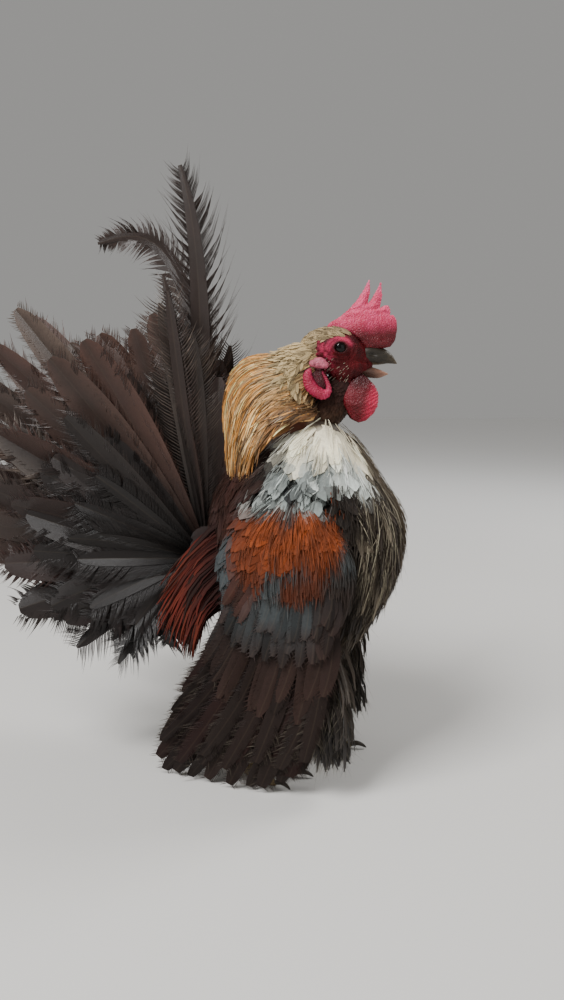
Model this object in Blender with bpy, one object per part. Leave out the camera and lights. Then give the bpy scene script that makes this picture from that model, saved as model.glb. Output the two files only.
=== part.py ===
"""Life-size still model of a serama rooster: chest lifted, wings hung to the floor, tail fanned upright.

The bird faces +X, its left side is +Y and its soles are at z = 0. Every size and place below is in
millimetres of the living bird, and MM turns it into Blender's metres when a mesh is made.
"""

import math
import random

import bmesh
import bpy
import numpy as np
from mathutils import Matrix, Vector

MM = 0.001
GAP = 0.3  # clearance between nodes that touch
SEED = 15
ORIGIN_X = -13.8  # x of the middle of the bird's length, which becomes the model's origin

VANE_THICK = 0.62
LOCK_THICK = 0.9
TIP_CROWD = 1.3  # above 1, the rows of a vane's triangles crowd towards its tip
STAGGER = 0.95  # neighbouring feathers of a tier lie this far apart, so that they needn't cross
RIGHT, LEFT = -1, 1
SIDE_NAMES = {RIGHT: "right", LEFT: "left"}

# Round body forms: rows of (x, z, half depth in the middle plane, half width), from one end to the other.
TORSO_ROWS = [
    (68, 173, 28, 25),
    (61, 140, 44.5, 37.5),
    (58, 108, 45, 38.5),
    (59, 77, 42.5, 38.5),
    (60, 48, 35, 31),
]
NECK_ROWS = [
    (66, 204, 7.5, 8),
    (56, 196, 11.5, 12),
    (47, 183, 21.5, 16.5),
    (43.5, 162, 19, 22),
    (46, 136, 22, 26),
]
CAPE_ROWS = [
    (64, 204, 9.5, 9.5),
    (54, 195, 13.5, 14),
    (45, 183, 24.5, 19),
    (42, 162, 20.5, 25),
    (44, 137, 22, 30),
]
SKULL_ROWS = [
    (56, 203, 9, 8.5),
    (65, 205.3, 10.8, 10.2),
    (74, 205, 11.2, 10.6),
    (82, 202.5, 9, 8.2),
    (89, 200.5, 6, 5),
]
THROAT_ROWS = [
    (80, 200, 7, 6),
    (77, 191, 8, 6.6),
    (72, 182, 8.5, 7.5),
    (66, 170, 9, 9),
]
UPPER_BEAK_ROWS = [
    (83, 203.2, 5.6, 5.4),
    (90, 203.4, 4.8, 4.3),
    (96.8, 202.4, 3.3, 2.8),
    (102, 199.6, 0.9, 0.8),
]
LOWER_BEAK_ROWS = [
    (82, 197.3, 2.8, 4.8),
    (88, 196.2, 2.3, 3.9),
    (93.5, 195.2, 1.7, 2.6),
    (98, 194.7, 0.8, 0.8),
]
THIGH_ROWS = [
    (58, 70, 19, 14),
    (55, 60, 19, 13),
    (50, 51, 14, 10),
    (44, 43, 7, 6),
]
SHANK_ROWS = [
    (43, 47, 4.4, 4.0),
    (44, 36, 3.1, 2.9),
    (47, 22, 2.8, 2.6),
    (50, 6, 3.6, 3.6),
]
WING_ARM_ROWS = [
    (60, 140, 15, 6),
    (58, 121, 26, 8.5),
    (58, 101, 27, 8.5),
    (60, 82, 23, 6),
    (62, 66, 16, 3.5),
]
RUMP_ROWS = [
    (26, 108, 14, 12),
    (16, 107, 17, 14),
    (7, 105, 17, 14),
    (-3, 104, 11, 10),
]

HEAD_TURN = math.radians(12)  # the head looks this far to the bird's left
HEAD_PIVOT = (60, 0)
EYE = (74.2, 7.4, 206.4)
EYE_RADIUS = 4.3
LID_RING, LID_THICK = 4.3, 1.05
HIP_Y, HOCK_Y, FOOT_Y = 19, 18.5, 17
HIP_Z, ANKLE_X = 60, 50
STEP = {RIGHT: -19, LEFT: 3}  # how far each foot stands forward of the hip

GROOVE_DEPTH, GROOVE_HALF = 3.5, 11  # the hollow down the middle of the breast

LID_OUT = 2.0  # the lid's ring stands this far outside the middle of the eye
CHEEK, CHEEK_RADII = (77, 4.6, 198), (8.5, 4.6, 7.0)
NOSTRIL, NOSTRIL_RADII = (90, 4.6, 203.6), (1.9, 1.3, 0.75)
COMB_ROOM, COMB_ROOM_RADII = (91, 0, 216.6), (22, 6.0, 11.7)  # kept free of the bill, for the comb's front
WATTLE_ROWS = [(83, 195.5, 4, 2.2), (84, 188, 7.5, 2.3), (84.5, 181, 8.6, 2.5), (83.5, 172, 7, 1.8)]
WATTLE_Y = (4.4, 6.2, 7.0, 6.2)
WATTLE_FOLD, WATTLE_FOLD_TURNS = 0.45, 11
LOBE_Y = 10.6
LOBE_FOLD = [(57.5, 196), (58.5, 189.5), (62.5, 183.5), (67.5, 183), (69.8, 188), (69.5, 193)]
LOBE_FOLD_RADII = [2.0, 2.5, 2.8, 2.6, 1.9, 1.3]
LOBE_BED, LOBE_BED_RADII = (64.5, 9.3, 190.5), (5.6, 2.2, 7.2)
EAR_TUFT, EAR_TUFT_RADII = (65.2, 10.2, 199.4), (3.7, 2.4, 2.3)
EAR_ROOM, EAR_ROOM_RADII = (63.6, 11.4, 191), (8.2, 5.4, 13)

HACKLE_HALF_TURN = 2.55  # radians from the back of the neck to the foremost hackles
HACKLE_TIERS = (5, 7, 8, 7)
HACKLE_WIDTH = 12
HACKLE_START, HACKLE_TIER_STEP = 0.06, 0.165  # shares of the neck's length
HACKLE_REACH, HACKLE_TIER_SHORTER = 0.46, 0.04

SADDLE_COUNT = 6
SADDLE_ROOTS = [(29, 21, 124), (25, 25, 113), (23, 28, 102), (23, 29, 92)]
SADDLE_BENDS = [(10, 28, 118), (7, 31, 107), (8, 33, 95), (14, 33, 86)]
SADDLE_TIPS = [(-5, 33, 90), (-5, 34, 79), (3, 34, 68), (12, 34, 63)]
SADDLE_WIDTH = 11

COMB_OUTLINE = [
    (68.0, 215.0), (70.0, 218.3), (75.0, 221.4), (79.5, 225.2), (83.3, 229.6), (86.0, 234.0),
    (88.3, 238.4), (88.6, 232.5), (87.2, 226.6), (89.8, 229.6), (91.8, 233.4), (93.8, 237.6),
    (94.2, 231.0), (93.2, 225.0), (95.2, 226.2), (97.4, 226.4), (98.2, 224.0), (98.0, 221.6),
    (99.8, 222.2), (101.0, 219.8), (101.2, 215.5), (100.6, 210.5), (98.6, 207.6), (95.0, 206.8),
    (90.0, 206.0), (83.0, 206.0), (77.0, 210.5), (71.5, 212.5),
]
COMB_BASE_Z, COMB_TOP_Z = 206, 238
COMB_BASE_HALF, COMB_TOP_HALF = 4.2, 1.3
COMB_FACET = 4.5
COMB_RIM, COMB_RIM_SHARE = 2.2, 0.45  # the comb thins to this share of its thickness over this rim

FLIGHT_COUNT, GREATER_COUNT, MEDIAN_COUNT = 13, 8, 7
FLIGHT_WIDTHS, GREATER_WIDTHS, MEDIAN_WIDTHS = (15, 17, 15, 12), (14, 15, 15, 13), (14, 16, 16, 14)
FLIGHT_LAYER, GREATER_LAYER, MEDIAN_LAYER = 0.0, 3.0, 5.6  # how far out of the flight feathers each tier lies
FLIGHT_LEAN, GREATER_LEAN, MEDIAN_LEAN = 0.16, 0.15, 0.13
WING_SHEET = (36.5, 40.5, 42, 41.5, 40, 37)  # half the bird's width, from the shoulder down to the floor
SHOULDER_Z, WING_MIDDLE_X, WING_WRAP, WING_OUT = 132, 58, 430, 1.2
WING_ARM_Y = (33, 36, 37, 38, 40)
FEATHER_BOW, FEATHER_SUNK = 3.0, 2.5
SECONDARY_ROOTS = [(38, 99), (50, 90), (64, 84), (76, 80)]
FLIGHT_TIPS = [(12, 50), (0, 28), (-10, 9), (0, 0.6), (21, 1), (42, 2.5), (59, 6), (71, 15)]
GREATER_ROOTS = [(37, 106), (50, 97), (63, 92), (78, 90)]
GREATER_TIPS = [(20, 66), (28, 50), (44, 42), (62, 42), (79, 52)]
MEDIAN_ROOTS = [(40, 118), (52, 110), (64, 106), (77, 104)]
MEDIAN_TIPS = [(28, 82), (40, 72), (56, 68), (72, 70), (82, 78)]

TAIL_ROOT, RUMP_Y = (9, 105), 6
RECTRIX_ANGLES, RECTRIX_SPLAY = (106, 173), (2, 15)
RECTRIX_LENGTHS = (122, 131, 155, 160, 147, 126)
RECTRIX_WIDTH, RECTRIX_ROOT_Y = 24, 4.0
# Tiers of tail coverts: first and last angle in side view, lengths, width, splay and y of the roots
COVERT_TIERS = [
    ((108, 240), (112, 117, 117, 105, 86, 66, 48), 30, 15, 7.0),
    ((118, 232), (86, 90, 84, 76, 60, 44), 29, 19, 9.5),
    ((132, 222), (58, 60, 54, 42), 27, 23, 11.5),
]
COVERT_SPREAD = 6  # degrees of splay that a tier gains towards its lower end
TAIL_BELLY = 2.5  # how far a tail feather bulges outwards between its ends
# The long curved feathers at the top of the tail: control points and width
SICKLES = {
    RIGHT: ([(4, -3, 112), (4, -7.5, 165), (16, -8, 238), (0, -8, 291)], 26, 7),
    LEFT: ([(8, 3, 112), (11, 8, 190), (-2, 12, 276), (-26, 14, 268), (-53, 15, 262)], 17, 9),
}

TOES = {
    "middle": [(0, 0, 2.6), (11, 0.5, 2.1), (20, 1, 1.8), (28, 1.2, 1.3)],
    "inner": [(0, 0, 2.6), (8, -6.5, 2.0), (15, -10, 1.8), (20.5, -11.8, 1.3)],
    "outer": [(0, 0, 2.6), (7.5, 6.5, 2.0), (14, 10.5, 1.8), (20, 13, 1.3)],
    "hallux": [(0, 0, 2.6), (-6, -1.5, 2.2), (-11, -3, 1.8), (-15, -4, 1.3)],
}
TOE_RADII = [3.4, 2.7, 2.4, 1.7]
CLAW_CURVE = [(-1.5, 0.6), (2.2, 1.5), (5.2, 0.9), (7.6, -0.6)]  # (ahead, up) from the end of the toe
CLAW_RADII = [1.5, 1.25, 0.9, 0.4]
SPUR_Z, SPUR_RADII = 20, [1.9, 1.5, 0.5]
SPUR_CURVE = [(0, 0, 0), (4, 2.4, 0.4), (7, 4.4, 2)]  # (back, inwards, up) from the middle of the shank
THIGH_LOCKS, THIGH_LOCK_WIDTH = 9, 11
# Rings that the thigh's locks pass through: radius along X, radius along Y and height
LOCK_RINGS = [(9, 7, 57), (22, 13, 46), (21, 11.5, 21)]
LOCK_CENTRE_X, LOCK_CENTRE_OUT, LOCK_UNEVEN = 52, 1.5, 7

FLOOR_BLOCK, FLOOR_BLOCK_PLACE = (240, 240, 20), (40, 0, -10)
SMOOTH_BELOW = math.radians(35)  # edges flatter than this are shaded round


def spline(rows, t):
    """The smooth curve through evenly spaced rows of numbers, at t from 0 to 1."""
    rows = np.asarray(rows, float)
    place = min(max(t, 0.0), 1.0) * (len(rows) - 1)
    i = min(int(place), len(rows) - 2)
    f = place - i
    b, c = rows[i], rows[i + 1]
    a = rows[i - 1] if i > 0 else 2 * b - c
    d = rows[i + 2] if i + 2 < len(rows) else 2 * c - b
    return b + 0.5 * f * (c - a + f * (2 * a - 5 * b + 4 * c - d + f * (3 * (b - c) + d - a)))


def number_spline(numbers, t):
    return spline([(n,) for n in numbers], t)[0]


def blend(ends, share):
    return ends[0] + (ends[1] - ends[0]) * share


def mirrored(point, side):
    """A point given for the left side, on either side."""
    x, y, z = point
    return (x, side * y, z)


def vector(*numbers):
    return Vector([float(n) for n in numbers])


def turned_with_head(point):
    """A point of the head, carried round by the turn of the neck."""
    x, y, z = point
    c, s = math.cos(HEAD_TURN), math.sin(HEAD_TURN)
    dx, dy = x - HEAD_PIVOT[0], y - HEAD_PIVOT[1]
    return vector(HEAD_PIVOT[0] + dx * c - dy * s, HEAD_PIVOT[1] + dx * s + dy * c, z)


def closed_object(bm, name):
    """A new object from a bmesh in millimetres, with its faces pointing out."""
    bmesh.ops.recalc_face_normals(bm, faces=bm.faces)
    if bm.calc_volume(signed=True) < 0:
        bmesh.ops.reverse_faces(bm, faces=bm.faces)
    bm.transform(Matrix.Translation((-ORIGIN_X * MM, 0, 0)) @ Matrix.Scale(MM, 4))
    mesh = bpy.data.meshes.new(name)
    bm.to_mesh(mesh)
    bm.free()
    obj = bpy.data.objects.new(name, mesh)
    bpy.context.scene.collection.objects.link(obj)
    return obj


def swept_point(rows, t, angle, y_rows=(0, 0), grow=0.0, blunt=2.4, share=1.0):
    """A point on a round form: t runs along it, and angle turns from its back (0) to its sides and front.

    y_rows is the y of its middle, evenly spaced along it. grow widens it evenly, also past its two ends.
    share draws the point in towards the middle line.
    """
    x, z, depth, width = spline(rows, t)
    ahead, behind = spline(rows, min(t + 0.01, 1)), spline(rows, max(t - 0.01, 0))
    along = vector(ahead[0] - behind[0], 0, ahead[1] - behind[1]).normalized()
    back = vector(along.z, 0, -along.x)
    y = number_spline(y_rows, t)
    end = max(0.0, 1 - abs(2 * t - 1) ** blunt) ** (1 / blunt)
    push = along * (grow * (2 * t - 1))
    offset = back * (math.cos(angle) * (depth * end * share + grow * end))
    offset += vector(0, 1, 0) * (math.sin(angle) * (width * end * share + grow * end))
    return vector(x, y, z) + offset + push


def swept_form(name, rows, y_rows=(0, 0), segments=16, rings=10, grow=0.0, blunt=2.4, shape=None,
               turned=False):
    """A closed round form through its rows, made from a sphere. shape may move each finished point."""
    bm = bmesh.new()
    bmesh.ops.create_uvsphere(bm, u_segments=segments, v_segments=rings, radius=1)
    for v in bm.verts:
        t = 0.5 - 0.5 * v.co.z
        angle = math.atan2(v.co.y, v.co.x)
        point = swept_point(rows, t, angle, y_rows, grow, blunt)
        if shape:
            point = shape(point, t, angle)
        v.co = turned_with_head(point) if turned else point
    bmesh.ops.triangulate(bm, faces=bm.faces)
    return closed_object(bm, name)


def ball(name, centre, radii, segments=12, rings=8, turned=False):
    """An ellipsoid with its half sizes along X, Y and Z."""
    bm = bmesh.new()
    bmesh.ops.create_uvsphere(bm, u_segments=segments, v_segments=rings, radius=1)
    for v in bm.verts:
        point = vector(*(c + r * k for c, r, k in zip(centre, radii, v.co)))
        v.co = turned_with_head(point) if turned else point
    return closed_object(bm, name)


def vane(name, path, facing, half_width, thick, rows=5, camber=0.0, slope=0.0, columns=1):
    """A feather or lock: a strip along path(t), bent across by camber, tilted by slope, then thickened.

    facing(t) is the way its upper face looks, and half_width(t) its half width. Both faces are cut into the
    same triangles, because the strip is triangulated before it gets its thickness.
    """
    bm = bmesh.new()
    bmesh.ops.create_grid(bm, x_segments=columns, y_segments=rows, size=1)
    for v in bm.verts:
        across, t = v.co.x, 1 - (0.5 - 0.5 * v.co.y) ** TIP_CROWD
        along = (path(min(t + 0.02, 1)) - path(max(t - 0.02, 0))).normalized()
        side = along.cross(facing(t)).normalized()
        up = side.cross(along).normalized()
        half = half_width(t)
        bend = slope * across - camber * across * across
        v.co = path(t) + side * (across * half) + up * (bend * half)
    bmesh.ops.triangulate(bm, faces=bm.faces, quad_method="FIXED")
    bmesh.ops.solidify(bm, geom=bm.faces[:], thickness=thick)
    return closed_object(bm, name)


def evaluated_copy(obj, name):
    graph = bpy.context.evaluated_depsgraph_get()
    mesh = bpy.data.meshes.new_from_object(obj.evaluated_get(graph))
    mesh.transform(obj.matrix_world)
    made = bpy.data.objects.new(name, mesh)
    bpy.context.scene.collection.objects.link(made)
    return made


def remove(objects):
    for obj in list(objects):
        bpy.data.objects.remove(obj)


def boolean(obj, others, operation):
    """obj joined with, or cut by, closed objects, which are then removed."""
    if not others:
        return obj
    group = bpy.data.collections.new("operands")
    bpy.context.scene.collection.children.link(group)
    for other in others:
        group.objects.link(other)
        bpy.context.scene.collection.objects.unlink(other)
    modifier = obj.modifiers.new(operation.lower(), "BOOLEAN")
    modifier.operation = operation
    modifier.solver = "MANIFOLD"
    modifier.operand_type = "COLLECTION"
    modifier.collection = group
    bpy.context.view_layer.update()
    made = evaluated_copy(obj, obj.name + "_made")
    name = obj.name
    remove([obj, *group.objects])
    bpy.data.collections.remove(group)
    made.name = name
    return made


def keep_largest(obj):
    """Leaves only the closed surface with the largest volume, which fills sealed hollows and drops scraps."""
    bm = bmesh.new()
    bm.from_mesh(obj.data)
    bmesh.ops.triangulate(bm, faces=bm.faces)
    seen, shells = set(), []
    for start in bm.verts:
        if start in seen:
            continue
        stack, shell = [start], set()
        while stack:
            v = stack.pop()
            if v in shell:
                continue
            shell.add(v)
            stack += [e.other_vert(v) for e in v.link_edges]
        seen |= shell
        faces = {f for v in shell for f in v.link_faces}
        volume = sum(f.verts[0].co.dot(f.verts[1].co.cross(f.verts[2].co)) for f in faces)
        shells.append((volume, shell))
    largest = max(shells, key=lambda s: s[0])[1]
    bmesh.ops.delete(bm, geom=[v for v in bm.verts if v not in largest], context="VERTS")
    bm.to_mesh(obj.data)
    bm.free()
    return obj


def fused(name, pieces, cutters=()):
    """One closed node from overlapping closed pieces, trimmed clear of its neighbours by the cutters."""
    base, rest = pieces[0], pieces[1:]
    base.name = name
    node = boolean(base, rest, "UNION")
    node = boolean(node, list(cutters), "DIFFERENCE")
    keep_largest(node)
    node.name = name
    node.data.name = name
    return node


def half_width_profile(width, root=0.25, widest=0.6, tip=0.12):
    """Half width of a feather from its root to its tip, rounded at the end."""

    def at(t):
        if t < widest:
            share = root + (1 - root) * math.sin(0.5 * math.pi * t / widest)
        else:
            fall = (t - widest) / (1 - widest)
            share = tip + (1 - tip) * math.sqrt(max(0.0, 1 - fall * fall))
        return 0.5 * width * share

    return at


def lock_profile(width, root=0.7, tip=0.12):
    """Half width of a pointed lock."""

    def at(t):
        return 0.5 * width * ((root + (1 - root) * min(1, t * 3)) * (1 - (1 - tip) * t ** 2.2))

    return at


def bezier(*points):
    """The curve with these control points, as a function of t."""
    points = [vector(*p) for p in points]
    order = len(points) - 1

    def at(t):
        return sum(
            (p * (math.comb(order, i) * t**i * (1 - t) ** (order - i)) for i, p in enumerate(points)),
            vector(0, 0, 0),
        )

    return at


def below_floor():
    """A block under the floor that gives soles and wing tips their flats."""
    bm = bmesh.new()
    bmesh.ops.create_cube(bm, size=1)
    bmesh.ops.scale(bm, vec=FLOOR_BLOCK, verts=bm.verts)
    bmesh.ops.translate(bm, vec=FLOOR_BLOCK_PLACE, verts=bm.verts)
    return closed_object(bm, "below_floor")


# The head


def eye_places():
    return {side: turned_with_head(mirrored(EYE, side)) for side in (RIGHT, LEFT)}


def lid_ring(side):
    """The lid standing round the eye."""
    bpy.ops.mesh.primitive_torus_add(
        major_segments=14, minor_segments=5, major_radius=LID_RING, minor_radius=LID_THICK
    )
    ring = bpy.context.object
    bm = bmesh.new()
    bm.from_mesh(ring.data)
    bpy.data.objects.remove(ring)
    out = side * (EYE[1] + LID_OUT)
    place = Matrix.Translation((EYE[0], out, EYE[2])) @ Matrix.Rotation(math.pi / 2, 4, "X")
    bm.transform(place)
    for v in bm.verts:
        v.co = turned_with_head(v.co)
    return closed_object(bm, "lid")


def head_core(name, grow=0.0):
    return [
        swept_form(name, SKULL_ROWS, segments=16, rings=11, grow=grow, turned=True),
        swept_form("throat", THROAT_ROWS, segments=12, rings=8, grow=grow, turned=True),
    ]


def cheek(side, grow=0.0):
    """The bare cheek between the eye and the corner of the mouth."""
    return ball("cheek", mirrored(CHEEK, side), [r + grow for r in CHEEK_RADII], turned=True)


def make_head():
    pieces = head_core("head")
    for side in (RIGHT, LEFT):
        pieces += [cheek(side), lid_ring(side)]
    sockets = [ball("socket", place, [EYE_RADIUS + GAP] * 3) for place in eye_places().values()]
    return fused("head", pieces, [*sockets, torso_core("torso_cutter", GAP)])


def head_cutters():
    """The whole head, grown by the gap, that trims what stands on it."""
    pieces = head_core("head_cutter", GAP)
    pieces += [cheek(side, GAP) for side in (RIGHT, LEFT)]
    return pieces


def make_eye(side):
    return ball("eye_" + SIDE_NAMES[side], eye_places()[side], [EYE_RADIUS] * 3)


def make_comb():
    """The single comb: an outline cut from a thick blade that thins towards its points."""
    curve = bpy.data.curves.new("comb", "CURVE")
    curve.dimensions = "2D"
    curve.fill_mode = "BOTH"
    curve.extrude = 0.5
    outline = curve.splines.new("POLY")
    outline.points.add(len(COMB_OUTLINE) - 1)
    for point, (x, z) in zip(outline.points, COMB_OUTLINE):
        point.co = (x, z, 0, 1)
    outline.use_cyclic_u = True
    blade = bpy.data.objects.new("comb_outline", curve)
    bpy.context.scene.collection.objects.link(blade)
    bpy.context.view_layer.update()
    flat = evaluated_copy(blade, "comb_flat")
    remove([blade])
    bm = bmesh.new()
    bm.from_mesh(flat.data)
    remove([flat])
    bmesh.ops.remove_doubles(bm, verts=bm.verts, dist=1e-4)
    bmesh.ops.triangulate(bm, faces=bm.faces)
    bmesh.ops.subdivide_edges(bm, edges=long_edges(bm, COMB_FACET), cuts=1, use_grid_fill=True)
    bmesh.ops.triangulate(bm, faces=bm.faces)
    insides = [outline_distance(v.co.x, v.co.y) for v in bm.verts]
    for v, inside in zip(bm.verts, insides):
        x, z, across = v.co
        height = min(max((z - COMB_BASE_Z) / (COMB_TOP_Z - COMB_BASE_Z), 0), 1)
        half = blend((COMB_BASE_HALF, COMB_TOP_HALF), height)
        rounded = blend((COMB_RIM_SHARE, 1), min(1.0, inside / COMB_RIM))
        v.co = turned_with_head((x, math.copysign(half * rounded, across), z))
    return fused("comb", [closed_object(bm, "comb")], head_cutters())


def long_edges(bm, length):
    return [e for e in bm.edges if e.calc_length() > length]


def outline_distance(x, z):
    """How far a point lies inside the comb's outline."""
    best = 1e9
    for (ax, az), (bx, bz) in zip(COMB_OUTLINE, COMB_OUTLINE[1:] + COMB_OUTLINE[:1]):
        ux, uz = bx - ax, bz - az
        f = min(1.0, max(0.0, ((x - ax) * ux + (z - az) * uz) / (ux * ux + uz * uz)))
        best = min(best, math.hypot(x - ax - f * ux, z - az - f * uz))
    return best


def nostril(side):
    return ball("nostril", mirrored(NOSTRIL, side), NOSTRIL_RADII, 8, 6, turned=True)


def make_beak():
    comb_room = ball("comb_room", COMB_ROOM, COMB_ROOM_RADII, 16, 10, turned=True)
    upper = swept_form("beak_upper", UPPER_BEAK_ROWS, segments=12, rings=8, turned=True)
    fused("beak_upper", [upper], head_cutters() + [nostril(RIGHT), nostril(LEFT), comb_room])
    lower = swept_form("beak_lower", LOWER_BEAK_ROWS, segments=10, rings=7, turned=True)
    fused("beak_lower", [lower], head_cutters())


def make_wattle(side):
    """A pendant wattle: a thick round flap with a few folds."""
    name = "wattle_" + SIDE_NAMES[side]

    def folds(point, t, angle):
        point.y += side * WATTLE_FOLD * math.sin(WATTLE_FOLD_TURNS * t + 2 * math.cos(angle))
        return point

    y_rows = [side * y for y in WATTLE_Y]
    flap = swept_form(name, WATTLE_ROWS, y_rows, 12, 8, blunt=2.2, shape=folds, turned=True)
    return fused(name, [flap], head_cutters())


def tube(name, points, radii, segments=6):
    """A round tube through points, with its radius at each, as one closed mesh."""
    rings = len(points) + 3
    bm = bmesh.new()
    bmesh.ops.create_uvsphere(bm, u_segments=segments, v_segments=rings, radius=1)
    for v in bm.verts:
        t = 0.5 - 0.5 * v.co.z
        angle = math.atan2(v.co.y, v.co.x)
        end = math.sqrt(max(0.0, 1 - abs(2 * t - 1) ** 4))
        centre = vector(*spline(points, t))
        step = spline(points, min(1, t + 0.02)) - spline(points, max(0, t - 0.02))
        along = vector(*step).normalized()
        side = along.cross(vector(0.13, 1, 0.05)).normalized()
        up = side.cross(along)
        radius = number_spline(radii, t) * end
        v.co = centre + side * (math.cos(angle) * radius) + up * (math.sin(angle) * radius)
    return closed_object(bm, name)


def ear_room(side):
    """The space of the earlobe, kept clear of hackles."""
    return ball("ear_room", mirrored(EAR_ROOM, side), EAR_ROOM_RADII, 12, 8, turned=True)


def make_earlobe(side):
    """The red folded lobe under the ear, with the pale ear tuft above it."""
    name = "earlobe_" + SIDE_NAMES[side]
    rim = tube(name, [turned_with_head((x, side * LOBE_Y, z)) for x, z in LOBE_FOLD], LOBE_FOLD_RADII)
    bed = ball("bed", mirrored(LOBE_BED, side), LOBE_BED_RADII, 10, 6, turned=True)
    tuft = ball("tuft", mirrored(EAR_TUFT, side), EAR_TUFT_RADII, 8, 6, turned=True)
    return fused(name, [rim, bed, tuft], head_cutters() + [neck_core("neck_cutter", GAP)])


def make_head_parts():
    make_head()
    for side in (RIGHT, LEFT):
        make_eye(side)
        make_wattle(side)
        make_earlobe(side)
    make_comb()
    make_beak()


# The neck and torso


def neck_core(name, grow=0.0):
    return swept_form(name, NECK_ROWS, segments=14, rings=8, grow=grow)


def torso_core(name, grow=0.0):
    """The chest and belly, with a shallow groove down the middle of the breast."""

    def groove(point, t, angle):
        front = max(0.0, -math.cos(angle))
        point.x -= GROOVE_DEPTH * math.exp(-((point.y / GROOVE_HALF) ** 2)) * front * math.sin(math.pi * t)
        return point

    return swept_form(name, TORSO_ROWS, segments=20, rings=14, grow=grow, shape=groove)


def hackle(rng, tier, place, count):
    """A pointed neck feather that lies along the neck and lifts at its end."""
    angle = HACKLE_HALF_TURN * (2 * (place + 0.5 * (tier % 2) + 0.25) / count - 1)
    start = HACKLE_START + HACKLE_TIER_STEP * tier
    end = min(start + HACKLE_REACH - HACKLE_TIER_SHORTER * tier, 0.97)
    end -= 0.05 * abs(math.sin(angle)) + 0.02 * rng.random()
    lift = 1.4 - 0.3 * tier + 0.4 * rng.random() + 1.3 * (place % 2)
    drift = 0.10 * (rng.random() - 0.5)

    def path(t):
        u = start + (end - start) * t
        a = angle + drift * t
        inner = swept_point(NECK_ROWS, u, a, blunt=6)
        outer = swept_point(CAPE_ROWS, u, a, blunt=6)
        share = min(1.0, 2.2 * t) ** 0.8
        out = (outer - inner).normalized()
        return inner.lerp(outer, share) + out * (lift * t * 1.6 - 1.6 * (1 - t) ** 4)

    def facing(t):
        u = start + (end - start) * t
        centre = swept_point(NECK_ROWS, u, 0, share=0.0)
        return (path(t) - centre).normalized()

    return vane("hackle", path, facing, lock_profile(HACKLE_WIDTH, 0.8, 0.1), LOCK_THICK, rows=3)


def make_neck():
    rng = random.Random(SEED)
    pieces = [neck_core("neck")]
    for tier, count in enumerate(HACKLE_TIERS):
        pieces += [hackle(rng, tier, place, count) for place in range(count)]
    cutters = head_cutters() + [ear_room(RIGHT), ear_room(LEFT), torso_core("torso_cutter", GAP)]
    return fused("neck", pieces, cutters)


def saddle_feather(rng, side, share):
    """A pointed feather that hangs from the flank of the saddle, outside the root of the tail."""
    root, bend, tip = (spline(rows, share) for rows in (SADDLE_ROOTS, SADDLE_BENDS, SADDLE_TIPS))
    sag = 4 * (rng.random() - 0.5)
    sunk_root = (root[0] + 6, root[1] - 5, root[2] - 2)
    sagged_tip = (tip[0], tip[1], tip[2] + sag)
    path = bezier(*(mirrored(p, side) for p in (sunk_root, bend, sagged_tip)))
    return vane("saddle", path, lambda t: vector(-0.3, side, 0.2), lock_profile(SADDLE_WIDTH, 0.8, 0.1),
                LOCK_THICK, rows=3, slope=0.12 * side)


def make_torso():
    rng = random.Random(SEED + 1)
    pieces = [torso_core("torso")]
    for side in (RIGHT, LEFT):
        pieces += [saddle_feather(rng, side, place / (SADDLE_COUNT - 1)) for place in range(SADDLE_COUNT)]
    return fused("torso", pieces)


# The wings


def wing_skin(side, x, z, layer):
    """A point of the hanging wing's outer sheet. layer counts millimetres out from its flight feathers."""
    half = number_spline(WING_SHEET, (SHOULDER_Z - z) / SHOULDER_Z)
    wrap = (x - WING_MIDDLE_X) ** 2 / WING_WRAP
    return vector(x, side * (half + WING_OUT - wrap + layer), z)


def wing_feather(name, side, root, tip, width, layer, lean, rows):
    """A vane of the wing from a root to a tip, both given as (x, z), bowed backwards."""
    root, tip = np.array(root, float), np.array(tip, float)
    back = np.array([root[1] - tip[1], tip[0] - root[0]])
    back = back / np.linalg.norm(back)
    if back[0] > 0:
        back = -back

    def path(t):
        x, z = root + (tip - root) * t - back * (FEATHER_BOW * math.sin(math.pi * t))
        return wing_skin(side, x, z, layer - FEATHER_SUNK * (1 - t) ** 3)

    return vane(name, path, lambda t: vector(0, side, 0), half_width_profile(width, 0.5, 0.55, 0.2),
                VANE_THICK, rows=rows, slope=lean * side, camber=0.05)


def wing_tier(name, side, count, roots, tips, widths, layer, lean, rows):
    for place in range(count):
        share = place / (count - 1)
        root, tip, width = spline(roots, share), spline(tips, share), number_spline(widths, share)
        yield wing_feather(name, side, root, tip, width, layer, lean, rows)


def wing_arm(name, side, grow=0.0):
    return swept_form(name, WING_ARM_ROWS, [side * y for y in WING_ARM_Y], 12, 7, grow)


def make_wing(side):
    name = "wing_" + SIDE_NAMES[side]
    pieces = [wing_arm(name, side)]
    pieces += wing_tier("flight", side, FLIGHT_COUNT, SECONDARY_ROOTS, FLIGHT_TIPS, FLIGHT_WIDTHS,
                        FLIGHT_LAYER, FLIGHT_LEAN, 4)
    pieces += wing_tier("greater", side, GREATER_COUNT, GREATER_ROOTS, GREATER_TIPS, GREATER_WIDTHS,
                        GREATER_LAYER, GREATER_LEAN, 3)
    pieces += wing_tier("median", side, MEDIAN_COUNT, MEDIAN_ROOTS, MEDIAN_TIPS, MEDIAN_WIDTHS,
                        MEDIAN_LAYER, MEDIAN_LEAN, 3)
    cutters = [torso_core("torso_cutter", GAP), thigh_core("thigh_cutter", side, GAP), below_floor()]
    return fused(name, pieces, cutters)


# The tail


def tail_direction(angle, splay, side):
    a, s = math.radians(angle), math.radians(splay)
    return vector(math.cos(a) * math.cos(s), side * math.sin(s), math.sin(a) * math.cos(s))


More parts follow.
